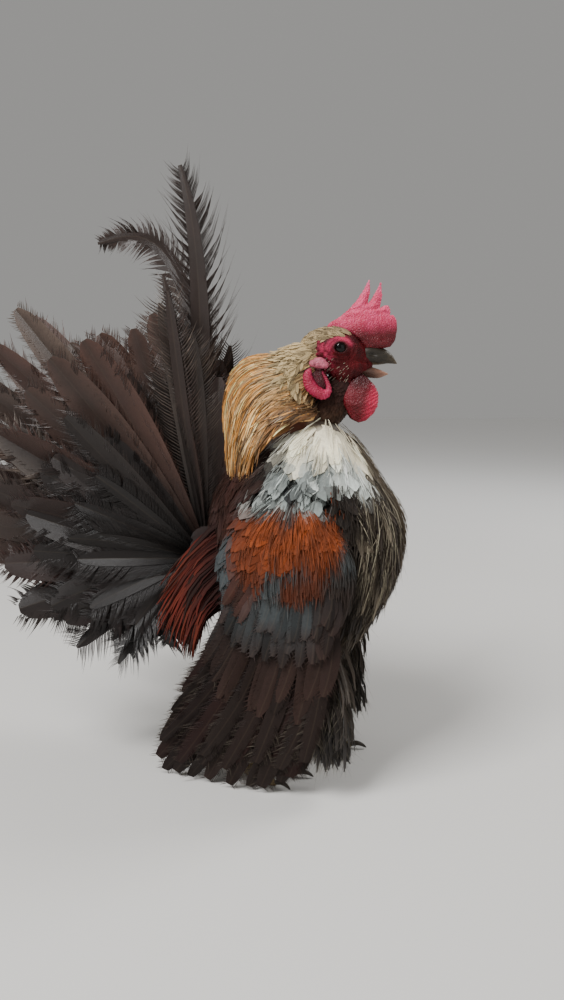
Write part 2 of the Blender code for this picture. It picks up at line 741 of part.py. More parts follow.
def tail_feather(name, side, angle, splay, length, width, root_y, rows, curl, tip):
    """A broad feather of the tail fan. angle is its direction in side view, from +X round over the back."""
    direction = tail_direction(angle, splay, side)
    root = vector(TAIL_ROOT[0], side * root_y, TAIL_ROOT[1])
    bend = tail_direction(angle + 90, 0, side)
    start, end = root + direction * 4, root + direction * length

    def path(t):
        belly = vector(0, side * TAIL_BELLY * math.sin(math.pi * t), 0)
        return start.lerp(end, t) + bend * (curl * t * t) + belly

    return vane(name, path, lambda t: vector(0, side, 0), half_width_profile(width, 0.22, 0.66, tip),
                VANE_THICK, rows=rows, camber=0.10)


def sickle(side):
    points, width, rows = SICKLES[side]
    return vane("sickle", bezier(*points), lambda t: vector(0, side, 0.05),
                half_width_profile(width, 0.55, 0.5, 0.08), VANE_THICK, rows=rows, camber=0.12)


def rump(name, side, grow=0.0):
    """Half of the tail's fleshy root, flat against its other half at the middle plane."""

    def flat_inside(point, t, angle):
        if point.y * side < GAP / 2:
            point.y = side * GAP / 2
        return point

    return swept_form(name, RUMP_ROWS, (side * RUMP_Y, side * RUMP_Y), 12, 8, grow, shape=flat_inside)


def make_tail(side):
    rng = random.Random(SEED + 2 + side)
    name = "tail_" + SIDE_NAMES[side]
    pieces = [rump(name, side)]
    for place, length in enumerate(RECTRIX_LENGTHS):
        share = place / (len(RECTRIX_LENGTHS) - 1)
        angle, splay = blend(RECTRIX_ANGLES, share), blend(RECTRIX_SPLAY, share)
        root_y = RECTRIX_ROOT_Y + STAGGER * (place % 2)
        pieces.append(tail_feather("rectrix", side, angle, splay, length, RECTRIX_WIDTH, root_y, 4, 4.0, 0.4))
    for angles, lengths, width, splay, root_y in COVERT_TIERS:
        for place, length in enumerate(lengths):
            share = place / (len(lengths) - 1)
            angle = blend(angles, share) + 3 * (rng.random() - 0.5)
            layer = root_y + STAGGER * (place % 2)
            spread = splay + COVERT_SPREAD * share
            pieces.append(tail_feather("covert", side, angle, spread, length, width, layer, 3, 5.0, 0.55))
    pieces.append(sickle(side))
    return fused(name, pieces, [torso_core("torso_cutter", GAP)])


# The legs


def stance(side, height):
    """How far a leg's point at this height is set forward or back by the bird's step."""
    return STEP[side] * (1 - height / HIP_Z)


def stepped(rows, side):
    return [(x + stance(side, z), z, depth, width) for x, z, depth, width in rows]


def thigh_core(name, side, grow=0.0):
    y_rows = [side * y for y in (HIP_Y, HIP_Y, HOCK_Y, HOCK_Y)]
    return swept_form(name, stepped(THIGH_ROWS, side), y_rows, 10, 7, grow)


def shank_core(name, side, grow=0.0):
    y_rows = [side * y for y in (HOCK_Y, HOCK_Y, FOOT_Y, FOOT_Y)]
    return swept_form(name, stepped(SHANK_ROWS, side), y_rows, 8, 8, grow, 4)


def thigh_lock(rng, side, share):
    """A loose lock of the thigh, hanging round the hock."""
    angle = 2 * math.pi * share
    reach = 1 + 0.15 * (rng.random() - 0.5)
    middle_x = LOCK_CENTRE_X + stance(side, HIP_Z / 2)
    points = []
    for radius_x, radius_y, z in LOCK_RINGS:
        out = HIP_Y + LOCK_CENTRE_OUT + radius_y * math.sin(angle)
        points.append((middle_x + radius_x * reach * math.cos(angle), side * out, z))
    points[-1] = (*points[-1][:2], points[-1][2] + LOCK_UNEVEN * rng.random())
    facing = vector(math.cos(angle), side * math.sin(angle), 0)
    profile = lock_profile(THIGH_LOCK_WIDTH, 0.7, 0.15)
    return vane("lock", bezier(*points), lambda t: facing, profile, LOCK_THICK, rows=3)


def toe_points(toe, side):
    return [(ANKLE_X + STEP[side] + x, side * (FOOT_Y + y), z) for x, y, z in TOES[toe]]


def toe_tube(name, toe, side, grow=0.0):
    return tube(name, toe_points(toe, side), [r + grow for r in TOE_RADII])


def make_claw(toe, side):
    name = f"claw_{toe}_" + SIDE_NAMES[side]
    points = toe_points(toe, side)
    end, before = vector(*points[-1]), vector(*points[-2])
    flat = vector(end.x - before.x, end.y - before.y, 0).normalized()
    path = [end + flat * ahead_by + vector(0, 0, rise) for ahead_by, rise in CLAW_CURVE]
    claw = tube(name, path, CLAW_RADII)
    return fused(name, [claw], [toe_tube("toe_cutter", toe, side, GAP), below_floor()])


def make_spur(side):
    x = ANKLE_X - 3 + stance(side, SPUR_Z)
    points = [(x - back, side * (FOOT_Y - inwards), SPUR_Z + up) for back, inwards, up in SPUR_CURVE]
    return tube("spur", points, SPUR_RADII)


def make_leg(side):
    end = SIDE_NAMES[side]
    rng = random.Random(SEED + 5 + side)
    thigh = [thigh_core("thigh_" + end, side)]
    thigh += [thigh_lock(rng, side, place / THIGH_LOCKS) for place in range(THIGH_LOCKS)]
    fused("thigh_" + end, thigh, [torso_core("torso_cutter", GAP)])
    shank = [shank_core("shank_" + end, side), make_spur(side)]
    fused("shank_" + end, shank, [thigh_core("thigh_cutter", side, GAP)])
    toes = [toe_tube("foot_" + end, toe, side) for toe in TOES]
    fused("foot_" + end, toes, [shank_core("shank_cutter", side, GAP), below_floor()])
    for toe in TOES:
        make_claw(toe, side)


# The finishes


COLOURS = {
    "comb": ((0.62, 0.05, 0.09), 0.45),
    "wattle": ((0.60, 0.04, 0.08), 0.42),
    "earlobe": ((0.66, 0.08, 0.14), 0.45),
    "head": ((0.42, 0.07, 0.08), 0.6),
    "eye": ((0.03, 0.012, 0.008), 0.08),
    "beak": ((0.13, 0.10, 0.07), 0.35),
    "claw": ((0.07, 0.05, 0.035), 0.35),
    "neck": ((0.70, 0.38, 0.12), 0.7),
    "torso": ((0.34, 0.31, 0.27), 0.8),
    "wing": ((0.12, 0.10, 0.09), 0.7),
    "tail": ((0.05, 0.035, 0.03), 0.6),
    "thigh": ((0.10, 0.075, 0.06), 0.85),
    "shank": ((0.62, 0.50, 0.28), 0.5),
    "foot": ((0.62, 0.50, 0.28), 0.5),
}


def finish(obj):
    kind = obj.name.split("_")[0]
    colour, roughness = COLOURS[kind]
    material = bpy.data.materials.get(kind) or bpy.data.materials.new(kind)
    material.use_nodes = True
    shader = material.node_tree.nodes["Principled BSDF"]
    shader.inputs["Base Color"].default_value = (*colour, 1)
    shader.inputs["Roughness"].default_value = roughness
    obj.data.materials.clear()
    obj.data.materials.append(material)
    obj.data.shade_smooth()
    obj.data.set_sharp_from_angle(angle=SMOOTH_BELOW)


def main():
    remove(bpy.data.objects)
    make_head_parts()
    make_neck()
    make_torso()
    for side in (RIGHT, LEFT):
        make_wing(side)
        make_tail(side)
        make_leg(side)
    bird = bpy.data.collections.new("serama_rooster")
    bpy.context.scene.collection.children.link(bird)
    for obj in list(bpy.context.scene.collection.objects):
        finish(obj)
        bird.objects.link(obj)
        bpy.context.scene.collection.objects.unlink(obj)


main()
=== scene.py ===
"""Looks of the life-size serama rooster: skin, comb, bill, eyes, feet and every tract of feathers.

Sizes and places are in millimetres of the living bird, as in the part's source: it faces +X, its left
side is +Y and its soles are at z = 0. to_model turns them into the model's metres.
"""

import math

import bmesh
import bpy
import numpy as np
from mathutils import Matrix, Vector, noise


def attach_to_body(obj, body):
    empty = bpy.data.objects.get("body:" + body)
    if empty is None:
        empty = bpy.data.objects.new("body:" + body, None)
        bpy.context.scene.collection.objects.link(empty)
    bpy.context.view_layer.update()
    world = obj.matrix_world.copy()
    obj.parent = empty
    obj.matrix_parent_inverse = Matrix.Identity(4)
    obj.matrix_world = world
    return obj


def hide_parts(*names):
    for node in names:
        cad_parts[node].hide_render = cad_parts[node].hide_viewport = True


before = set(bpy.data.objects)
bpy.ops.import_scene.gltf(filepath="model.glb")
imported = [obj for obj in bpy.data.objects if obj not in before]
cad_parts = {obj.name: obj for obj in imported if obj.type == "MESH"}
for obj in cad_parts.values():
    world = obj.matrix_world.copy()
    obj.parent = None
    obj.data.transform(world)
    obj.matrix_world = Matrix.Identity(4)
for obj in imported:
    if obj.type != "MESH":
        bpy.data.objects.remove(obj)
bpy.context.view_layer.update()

MM = 0.001
ORIGIN_X = -13.8  # x of the model's origin
RIGHT, LEFT = -1, 1
SIDES = (RIGHT, LEFT)
SIDE_NAMES = {RIGHT: "right", LEFT: "left"}

# Round body forms: rows of (x, z, half depth in the middle plane, half width), from one end to the other.
TORSO_ROWS = [(68, 173, 28, 25), (61, 140, 44.5, 37.5), (58, 108, 45, 38.5), (55, 77, 34, 37)]
TORSO_ROWS += [(52, 50, 21, 28)]
NECK_ROWS = [(66, 204, 7.5, 8), (56, 196, 11.5, 12), (47, 183, 21.5, 16.5), (43.5, 162, 19, 22)]
NECK_ROWS += [(46, 136, 22, 26)]
CAPE_ROWS = [(64, 204, 9.5, 9.5), (54, 195, 13.5, 14), (45, 183, 24.5, 19), (42, 162, 20.5, 25)]
CAPE_ROWS += [(44, 137, 22, 30)]
SKULL_ROWS = [(56, 203, 9, 8.5), (65, 205.3, 10.8, 10.2), (74, 205, 11.2, 10.6), (82, 202.5, 9, 8.2)]
SKULL_ROWS += [(89, 200.5, 6, 5)]
THROAT_ROWS = [(80, 200, 7, 6), (77, 191, 8, 6.6), (72, 182, 8.5, 7.5), (66, 170, 9, 9)]
UPPER_BEAK_ROWS = [(83, 203.2, 5.6, 5.4), (90, 203.4, 4.8, 4.3), (96.8, 202.4, 3.3, 2.8)]
UPPER_BEAK_ROWS += [(102, 199.6, 0.9, 0.8)]
LOWER_BEAK_ROWS = [(82, 197.3, 2.8, 4.8), (88, 196.2, 2.3, 3.9), (93.5, 195.2, 1.7, 2.6)]
LOWER_BEAK_ROWS += [(98, 194.7, 0.8, 0.8)]
THIGH_ROWS = [(58, 70, 19, 14), (55, 60, 19, 13), (50, 51, 14, 10), (44, 43, 7, 6)]
SHANK_ROWS = [(43, 47, 4.4, 4.0), (44, 36, 3.1, 2.9), (47, 22, 2.8, 2.6), (50, 6, 3.6, 3.6)]
WING_ARM_ROWS = [(60, 140, 15, 6), (58, 121, 26, 8.5), (58, 101, 27, 8.5), (60, 82, 23, 6), (62, 66, 16, 3.5)]
WING_ARM_Y = (33, 36, 37, 38, 40)
RUMP_ROWS = [(26, 108, 14, 12), (16, 107, 17, 14), (7, 105, 17, 14), (-3, 104, 11, 10)]
GROOVE_DEPTH, GROOVE_HALF = 3.5, 11

HEAD_TURN = math.radians(12)
HEAD_PIVOT = (60, 0)
EYE = (74.2, 7.4, 206.4)
EYE_RADIUS = 4.3
PUPIL_SHARE, IRIS_SHARE = 0.46, 0.64  # of the eyeball's front, as the sine of the angle from its axis
LOBE_Y = 10.6
LOBE_FOLD = [(60.6, 197.2), (59, 193.5), (60.3, 189.4), (63.3, 186.4), (66.8, 185), (69, 187.2)]
LOBE_FOLD += [(68, 191.5), (65.6, 196)]
LOBE_KNOBS = [(64.6, 199.6, 3.3), (61.8, 199.2, 2.2), (66.9, 198.6, 2.2)]
LOBE_RADII = [1.8, 2.7, 2.9, 2.8, 2.4, 1.5, 1.0, 0.8]
BRISTLES = 90
HIP_Y, HOCK_Y, FOOT_Y = 19, 18.5, 17
HIP_Z, ANKLE_X = 60, 50
STEP = {RIGHT: -19, LEFT: 3}
TOES = {
    "middle": [(0, 0, 2.6), (11, 0.5, 2.1), (20, 1, 1.8), (28, 1.2, 1.3)],
    "inner": [(0, 0, 2.6), (8, -6.5, 2.0), (15, -10, 1.8), (20.5, -11.8, 1.3)],
    "outer": [(0, 0, 2.6), (7.5, 6.5, 2.0), (14, 10.5, 1.8), (20, 13, 1.3)],
    "hallux": [(0, 0, 2.6), (-6, -1.5, 2.2), (-11, -3, 1.8), (-15, -4, 1.3)],
}
TOE_RADII = [3.4, 2.7, 2.4, 1.7]
CLAW_CURVE = [(-1.5, 0.6), (2.2, 1.5), (5.2, 0.9), (7.6, -0.6)]
CLAW_RADII = [1.5, 1.25, 0.9, 0.4]

SECONDARY_ROOTS = [(38, 99), (50, 90), (64, 84), (76, 80)]
FLIGHT_TIPS = [(12, 50), (0, 28), (-10, 9), (0, 0.6), (20, 1), (38, 2.5), (53, 6), (63, 15)]
GREATER_ROOTS = [(37, 106), (50, 97), (63, 92), (78, 90)]
GREATER_TIPS = [(20, 66), (28, 50), (44, 42), (60, 43), (74, 53)]
MEDIAN_ROOTS = [(40, 118), (52, 110), (64, 106), (77, 104)]
MEDIAN_TIPS = [(28, 82), (40, 72), (56, 68), (70, 70), (79, 78)]
WING_SHEET = (36.5, 40.5, 42, 41.5, 40, 37)  # half width across both wings, from the shoulder down
SHOULDER_Z = 132

TAIL_ROOT = (9, 105)
# Tiers of the tail: count, angles, lengths, width, splay at both ends and y of the roots
TAIL_TIERS = [
    (11, (106, 173), (118, 127, 150, 155, 143, 122), 22, (2, 15), 4.0),
    (14, (108, 240), (110, 115, 115, 103, 84, 64, 47), 26, (15, 21), 7.0),
    (13, (116, 234), (85, 90, 85, 75, 60, 44), 25, (19, 25), 9.5),
    (11, (126, 224), (60, 62, 55, 42), 23, (23, 29), 11.5),
    (9, (83, 112), (88, 94, 96, 90), 20, (2, 6), 6.0),
    (6, (85, 94), (96, 116, 126, 122), 22, (3, 6), 7.0),
]
SICKLES = {
    RIGHT: ([(4, -3, 112), (5, -7.5, 165), (16, -8, 238), (0, -8, 291)], 40),
    LEFT: ([(8, 3, 112), (11, 8, 190), (-2, 12, 276), (-26, 14, 268), (-53, 15, 262)], 27),
}
# The lower edge of the white on the breast: z at each x
WHITE_RIM_X = (44, 52, 62, 74, 84, 96)
WHITE_RIM_Z = (163, 158, 153, 144, 138, 139)
SADDLE_ROOTS = [(33, 17, 132), (28, 23, 120), (24, 27, 108), (23, 29, 92)]
SADDLE_BENDS = [(14, 26, 124), (9, 30, 110), (8, 33, 97), (14, 33, 86)]
SADDLE_TIPS = [(-4, 32, 96), (-5, 34, 80), (3, 34, 68), (12, 34, 62)]

CAMERA_PLACE = (0.13877, -0.36681, 0.185)
CAMERA_AZIMUTH, CAMERA_PITCH = math.radians(12), math.radians(7.8)
CAMERA_LENS = 27.72
# Lamps: name, place and size in metres, power in watts
LAMPS = [
    ("key", (-0.45, -0.8, 1.25), 0.6, 31),
    ("rim", (0.8, 0.5, 0.9), 0.5, 8),
    ("fill", (0.9, -0.8, 0.5), 0.9, 2.5),
]
LAMP_AIM = (0, 0, 0.14)
WORLD_COLOUR, WORLD_STRENGTH = (0.72, 0.71, 0.69, 1), 0.45
BAKE_PATCH, LARGE_PATCH = 0.003, 0.01  # size of a small and of a large feather on the OFBake map
TORSO_SPAN, WING_SPAN, CAPE_SPAN = 125, 74, 75  # lengths of the forms that feathers grow on
BARB_TURN = 2.39996  # spreads the shades of neighbouring barbs evenly
SEEN_AT = 0.7  # the middle of the part of a feather that shows, which takes the marking of its place


def tone(red, green, blue):
    """A colour seen on a screen, from 0 to 255 each, as the light values that materials take."""
    share = np.array([red, green, blue], float) / 255
    return np.where(share <= 0.04045, share / 12.92, ((share + 0.055) / 1.055) ** 2.4)


CROWN_TAN, CROWN_OLIVE = tone(186, 164, 126), tone(126, 108, 78)
STRAW, GOLD, COPPER = tone(226, 198, 146), tone(208, 140, 58), tone(118, 56, 30)
STREAK_PALE, STREAK_DARK, HACKLE_BROWN = tone(196, 190, 172), tone(62, 50, 36), tone(98, 64, 40)
CREAM, CHALK, ASH = tone(242, 232, 204), tone(236, 240, 232), tone(160, 168, 164)
TAUPE, UMBER, SOOT = tone(148, 140, 120), tone(62, 51, 40), tone(34, 27, 23)
RUST, DEEP_RUST = tone(142, 64, 22), tone(80, 34, 16)
SLATE, DARK_SLATE = tone(60, 66, 68), tone(40, 42, 44)
MAHOGANY, OXBLOOD = tone(112, 32, 20), tone(60, 18, 14)
TAIL_BROWN, TAIL_BLACK, TAIL_GREY = tone(76, 54, 45), tone(28, 21, 20), tone(132, 118, 106)
FLIGHT_BROWN = tone(52, 35, 30)
THROAT_RED, THROAT_BROWN, BREAST_FRONT = tone(46, 20, 17), tone(62, 42, 30), tone(92, 80, 62)
LEG_SHADE, LEG_YELLOW = tone(112, 92, 58), tone(158, 134, 84)
SHAFT_PALE, BARB_SHADE = (0.20, 0.15, 0.10), (0.02, 0.015, 0.012)
# dry pale flecks of skin, and the dark colour of the seams between scutes
SCURF, SEAM_DARK = (0.78, 0.52, 0.50), (0.06, 0.045, 0.03)


def smooth(low, high, x):
    """0 below low, 1 above high, and a soft step between."""
    f = np.clip((np.asarray(x, float) - low) / (high - low), 0, 1)
    return f * f * (3 - 2 * f)


def inside(x, low, high, soft):
    return smooth(low - soft, low + soft, x) * (1 - smooth(high - soft, high + soft, x))


def mix(a, b, share):
    """Colours a and b mixed by a share for each point."""
    share = np.asarray(share, float)[..., None]
    return np.asarray(a) * (1 - share) + np.asarray(b) * share


def layered(colour, *layers):
    """A colour with others laid over it, each a colour and its share for each point."""
    for over, share in layers:
        colour = mix(colour, over, share)
    return colour


def unit(v):
    return v / np.maximum(np.linalg.norm(v, axis=-1, keepdims=True), 1e-9)


def spline(rows, t):
    """The smooth curve through evenly spaced rows of numbers, at every t from 0 to 1."""
    rows = np.asarray(rows, float)
    padded = np.concatenate([2 * rows[:1] - rows[1:2], rows, 2 * rows[-1:] - rows[-2:-1]])
    place = np.clip(t, 0, 1) * (len(rows) - 1)
    i = np.minimum(place.astype(int), len(rows) - 2)
    f = (place - i)[..., None]
    a, b, c, d = (padded[i + k] for k in range(4))
    return b + 0.5 * f * (c - a + f * (2 * a - 5 * b + 4 * c - d + f * (3 * (b - c) + d - a)))


def row_value(values, t):
    return spline([(v,) for v in values], np.asarray(t, float))[..., 0]


def bezier(points, t):
    """Places (..., 3) on the curve with these control points."""
    points, order = np.asarray(points, float), len(points) - 1
    t = np.asarray(t, float)[..., None]
    return sum(math.comb(order, i) * t**i * (1 - t) ** (order - i) * p for i, p in enumerate(points))

def turned_with_head(places, angle=HEAD_TURN):
    """Places of the head, carried round by the turn of the neck."""
    places = np.array(places, float)
    c, s = math.cos(angle), math.sin(angle)
    dx, dy = places[..., 0] - HEAD_PIVOT[0], places[..., 1] - HEAD_PIVOT[1]
    places[..., 0] = HEAD_PIVOT[0] + dx * c - dy * s
    places[..., 1] = HEAD_PIVOT[1] + dx * s + dy * c
    return places


def stack(*values):
    """Numbers or arrays side by side as the last axis of one array."""
    return np.stack(np.broadcast_arrays(*values), -1).astype(float)


def column(values):
    return np.asarray(values, float).reshape(-1, 1)


class Form:
    """A round body form swept through rows, which feathers grow on. Its back is at angle 0."""

    def __init__(self, rows, y_rows=(0, 0), blunt=2.4, groove=False, turned=False):
        self.rows, self.y_rows, self.blunt = rows, y_rows, blunt
        self.groove, self.turned = groove, turned

    def point(self, t, angle):
        t, angle = np.broadcast_arrays(np.clip(t, 0, 1), angle)
        x, z, depth, width = np.moveaxis(spline(self.rows, t), -1, 0)
        step = spline(self.rows, np.minimum(t + 0.01, 1)) - spline(self.rows, np.maximum(t - 0.01, 0))
        along = unit(stack(step[..., 0], 0 * x, step[..., 1]))
        end = np.maximum(0, 1 - np.abs(2 * t - 1) ** self.blunt) ** (1 / self.blunt)
        back = np.cos(angle) * depth * end
        places = stack(x + along[..., 2] * back, row_value(self.y_rows, t) + np.sin(angle) * width * end,
                       z - along[..., 0] * back)
        if self.groove:
            front = np.maximum(0, -np.cos(angle)) * np.sin(math.pi * t)
            places[..., 0] -= GROOVE_DEPTH * np.exp(-((places[..., 1] / GROOVE_HALF) ** 2)) * front
        return turned_with_head(places) if self.turned else places

    def normal(self, t, angle):
        """The way out of the form at each place."""
        t = np.clip(t, 0.02, 0.98)
        by_t = self.point(t + 0.01, angle) - self.point(t - 0.01, angle)
        by_angle = self.point(t, angle + 0.02) - self.point(t, angle - 0.02)
        return unit(np.cross(by_angle, by_t))


TORSO = Form(TORSO_ROWS, groove=True)
NECK = Form(NECK_ROWS, blunt=6)
CAPE = Form(CAPE_ROWS, blunt=6)
SKULL = Form(SKULL_ROWS, turned=True)
THROAT = Form(THROAT_ROWS, turned=True)
WING_ARM = {side: Form(WING_ARM_ROWS, [side * y for y in WING_ARM_Y]) for side in SIDES}
RUMP = {side: Form(RUMP_ROWS, (side * 6, side * 6)) for side in SIDES}


def stance(side, height):
    """How far a leg's point at this height is set forward or back by the bird's step."""
    return STEP[side] * (1 - height / HIP_Z)


def stepped(rows, side):
    return [(x + stance(side, z), z, depth, width) for x, z, depth, width in rows]


def leg_form(rows, side, top_y, low_y, blunt):
    """A part of a leg, half at one distance from the middle plane and half at another."""
    return Form(stepped(rows, side), [side * y for y in (top_y, top_y, low_y, low_y)], blunt)


THIGH = {side: leg_form(THIGH_ROWS, side, HIP_Y, HOCK_Y, 2.4) for side in SIDES}
SHANK = {side: leg_form(SHANK_ROWS, side, HOCK_Y, FOOT_Y, 4) for side in SIDES}


# Materials: each is a Principled shader, fed by groups that put out colours, masks and heights


def add_node(tree, kind, inputs, out=0, **settings):
    """A node's output. Its inputs are sockets, numbers or colours, by name or place."""
    node = tree.nodes.new("ShaderNode" + kind)
    for name, value in settings.items():
        setattr(node, name, value)
    for place, value in inputs.items():
        if isinstance(value, bpy.types.NodeSocket):
            tree.links.new(value, node.inputs[place])
        else:
            node.inputs[place].default_value = value
    return node.outputs[out]


def math_node(tree, operation, *values):
    return add_node(tree, "Math", dict(enumerate(values)), operation=operation)


def turned_over(tree, value, gain):
    """1 - value, times gain."""
    return math_node(tree, "MULTIPLY", math_node(tree, "SUBTRACT", 1.0, value), gain)


def mix_colour(tree, share, first, second, blend="MIX"):
    first, second = (c if isinstance(c, bpy.types.NodeSocket) else (*c, 1) for c in (first, second))
    return add_node(tree, "Mix", {0: share, 6: first, 7: second}, 2, data_type="RGBA", blend_type=blend)


def noise_node(tree, vector, scale, detail=2.0, roughness=0.5, distortion=0.0):
    inputs = {"Vector": vector, "Scale": scale, "Detail": detail, "Roughness": roughness,
              "Distortion": distortion}
    return add_node(tree, "TexNoise", inputs, "Fac")


def voronoi_node(tree, vector, scale, feature):
    return add_node(tree, "TexVoronoi", {"Vector": vector, "Scale": scale}, "Distance", feature=feature)


def ramp(tree, value, low, high):
    """value spread from low..high to 0..1."""
    inputs = {"Value": value, "From Min": low, "From Max": high}
    return add_node(tree, "MapRange", inputs, "Result", interpolation_type="SMOOTHSTEP")


def new_group(name, takes, gives):
    """A node group whose sockets are names, kinds and first values, and the sockets of its two ends."""
    group = bpy.data.node_groups.new(name, "ShaderNodeTree")
    for direction, sockets in (("INPUT", takes), ("OUTPUT", gives)):
        for title, kind, *value in sockets:
            made = group.interface.new_socket(title, in_out=direction, socket_type="NodeSocket" + kind)
            if value:
                made.default_value = value[0]
    return group, group.nodes.new("NodeGroupInput").outputs, group.nodes.new("NodeGroupOutput").inputs


def barb_lines_group():
    """Fine lines that run out from the shaft of a feather, from its vane coordinates in centimetres."""
    takes = [("Vane", "Vector"), ("Spacing", "Float", 0.06), ("Slant", "Float", 1.1)]
    group, given, made = new_group("Barb lines", takes, [("Lines", "Float"), ("Shaft", "Float")])
    split = group.nodes.new("ShaderNodeSeparateXYZ")
    group.links.new(given["Vane"], split.inputs[0])
    out = math_node(group, "ABSOLUTE", split.outputs[0])
    rise = math_node(group, "MULTIPLY", out, given["Slant"])
    along = math_node(group, "SUBTRACT", split.outputs[1], rise)
    turns = math_node(group, "DIVIDE", along, given["Spacing"])
    wave = math_node(group, "SINE", math_node(group, "MULTIPLY", turns, 2 * math.pi))
    group.links.new(math_node(group, "MULTIPLY_ADD", wave, 0.5, 0.5), made["Lines"])
    group.links.new(math_node(group, "SUBTRACT", 1.0, ramp(group, out, 0.01, 0.05)), made["Shaft"])
    return group


def mottle_group():
    """A colour made uneven by soft patches and fine grain, in the model's own coordinates."""
    takes = [("Vector", "Vector"), ("Colour", "Color", (0.5, 0.5, 0.5, 1)), ("Patches", "Float", 0.35),
             ("Grain", "Float", 0.3)]
    group, given, made = new_group("Mottle", takes, [("Colour", "Color")])
    patches = noise_node(group, given["Vector"], 90, 3)
    grain = noise_node(group, given["Vector"], 900, 2)
    wide = math_node(group, "MULTIPLY", math_node(group, "SUBTRACT", patches, 0.5), given["Patches"])
    fine = math_node(group, "MULTIPLY", math_node(group, "SUBTRACT", grain, 0.5), given["Grain"])
    gain = math_node(group, "MULTIPLY_ADD", math_node(group, "ADD", wide, fine), 2.0, 1.0)
    scaled = add_node(group, "VectorMath", {0: given["Colour"], "Scale": gain}, operation="SCALE")
    group.links.new(scaled, made["Colour"])
    return group


def papillae_group():
    """The height of fleshy skin: round pebbles crossed by fine wrinkles."""
    takes = [("Vector", "Vector"), ("Wrinkles", "Float", 0.5)]
    group, given, made = new_group("Papillae", takes, [("Height", "Float")])
    warp = noise_node(group, given["Vector"], 260, 3)
    pebbles = voronoi_node(group, given["Vector"], 1600, "SMOOTH_F1")
    round_top = math_node(group, "SUBTRACT", 1.0, pebbles)
    creases = noise_node(group, given["Vector"], 700, 4, 0.6, 1.2)
    depth = math_node(group, "ABSOLUTE", math_node(group, "SUBTRACT", creases, 0.5))
    folds = math_node(group, "MULTIPLY", depth, given["Wrinkles"])
    folded = math_node(group, "ADD", round_top, folds)
    group.links.new(math_node(group, "ADD", folded, math_node(group, "MULTIPLY", warp, 0.5)), made["Height"])
    return group


BARB_LINES, MOTTLE, PAPILLAE = barb_lines_group(), mottle_group(), papillae_group()


def use_group(tree, group, **inputs):
    """The outputs of a group placed in a material."""
    return add_node(tree, "Group", inputs, slice(None), node_tree=group)


def new_material(name, **constants):
    """A material, its tree, its Principled shader and the socket of the model's own coordinates."""
    material = bpy.data.materials.new(name)
    material.use_nodes = True
    tree = material.node_tree
    shader = tree.nodes["Principled BSDF"]
    for key, value in constants.items():
        shader.inputs[key.replace("_", " ")].default_value = value
    return material, tree, shader, add_node(tree, "TexCoord", {}, "Object")


def surface(tree, shader, colour, roughness=None, height=None, strength=0.3, distance=0.0003):
    """Feeds a shader its colour, its roughness and its bump."""
    tree.links.new(colour, shader.inputs["Base Color"])
    if roughness is not None:
        tree.links.new(roughness, shader.inputs["Roughness"])
    if height is not None:
        bump = add_node(tree, "Bump", {"Height": height, "Strength": strength, "Distance": distance})
        tree.links.new(bump, shader.inputs["Normal"])


def tint_of(tree):
    return add_node(tree, "Attribute", {}, "Color", attribute_name="tint")


def plumage_material(name, spacing, roughness, relief, shaft, patches=0.3, sheen=0.2, gloss=0.25):
    """A coat of feathers: its painted tint, darker between the barbs, with a paler shaft."""
    material, tree, shader, place = new_material(
        name, Roughness=roughness, Sheen_Weight=sheen, Sheen_Roughness=0.5, Specular_IOR_Level=gloss
    )
    vane = add_node(tree, "UVMap", {}, uv_map="vane")
    lines, rachis = use_group(tree, BARB_LINES, Vane=vane, Spacing=spacing)
    colour, = use_group(tree, MOTTLE, Vector=place, Colour=tint_of(tree), Patches=patches, Grain=0.25)
    colour = mix_colour(tree, turned_over(tree, lines, 0.22), colour, BARB_SHADE)
    colour = mix_colour(tree, math_node(tree, "MULTIPLY", rachis, shaft), colour, SHAFT_PALE)
    surface(tree, shader, colour, None, lines, relief, 0.0002)
    return material


def flesh_material(name, deep, bright, roughness, wrinkles, flecks, gloss=0.35):
    """Bare red skin: blood-dark and bright patches, pebble tops brightened by a painted highlight so the
    hollows stay dark, dry pale flecks and a moist gloss.
    """
    material, tree, shader, place = new_material(
        name, Specular_IOR_Level=gloss, Subsurface_Weight=0.12, Subsurface_Scale=0.0012,
        Subsurface_Radius=(1.0, 0.25, 0.15)
    )
    skin, = use_group(tree, PAPILLAE, Vector=place, Wrinkles=wrinkles)
    tops = ramp(tree, skin, 0.75, 1.25)
    patches = noise_node(tree, place, 140, 3)
    colour = mix_colour(tree, ramp(tree, patches, 0.3, 0.7), deep, bright)
    # painted highlight: brighter on the tops of the pebbles
    colour = mix_colour(tree, math_node(tree, "MULTIPLY", tops, 0.45), colour, bright)
    scurf = ramp(tree, noise_node(tree, place, 1500, 3, 0.7), 0.60, 0.76)
    colour = mix_colour(tree, math_node(tree, "MULTIPLY", scurf, flecks), colour, SCURF)
    tinted = mix_colour(tree, 1.0, colour, tint_of(tree), "MULTIPLY")
    dryness = math_node(tree, "MULTIPLY_ADD", patches, 0.25, roughness - 0.12)
    surface(tree, shader, tinted, dryness, skin, 0.8, 0.0005)
    return material


def horn_material(name, dark, pale):
    """Bill and claws: horn that grows in fine layers, worn paler where the tint is light."""
    material, tree, shader, place = new_material(name, Specular_IOR_Level=0.3)
    stretched = add_node(tree, "Mapping", {"Vector": place, "Scale": (0.25, 1, 1)})
    layers = noise_node(tree, stretched, 880, 4, 0.6)
    wear = add_node(tree, "SeparateColor", {0: tint_of(tree)})
    share = math_node(tree, "ADD", wear, math_node(tree, "MULTIPLY", layers, 0.3))
    colour = mix_colour(tree, ramp(tree, share, 0.15, 1.1), dark, pale)
    surface(tree, shader, colour, math_node(tree, "MULTIPLY_ADD", layers, 0.2, 0.36), layers, 0.25)
    return material


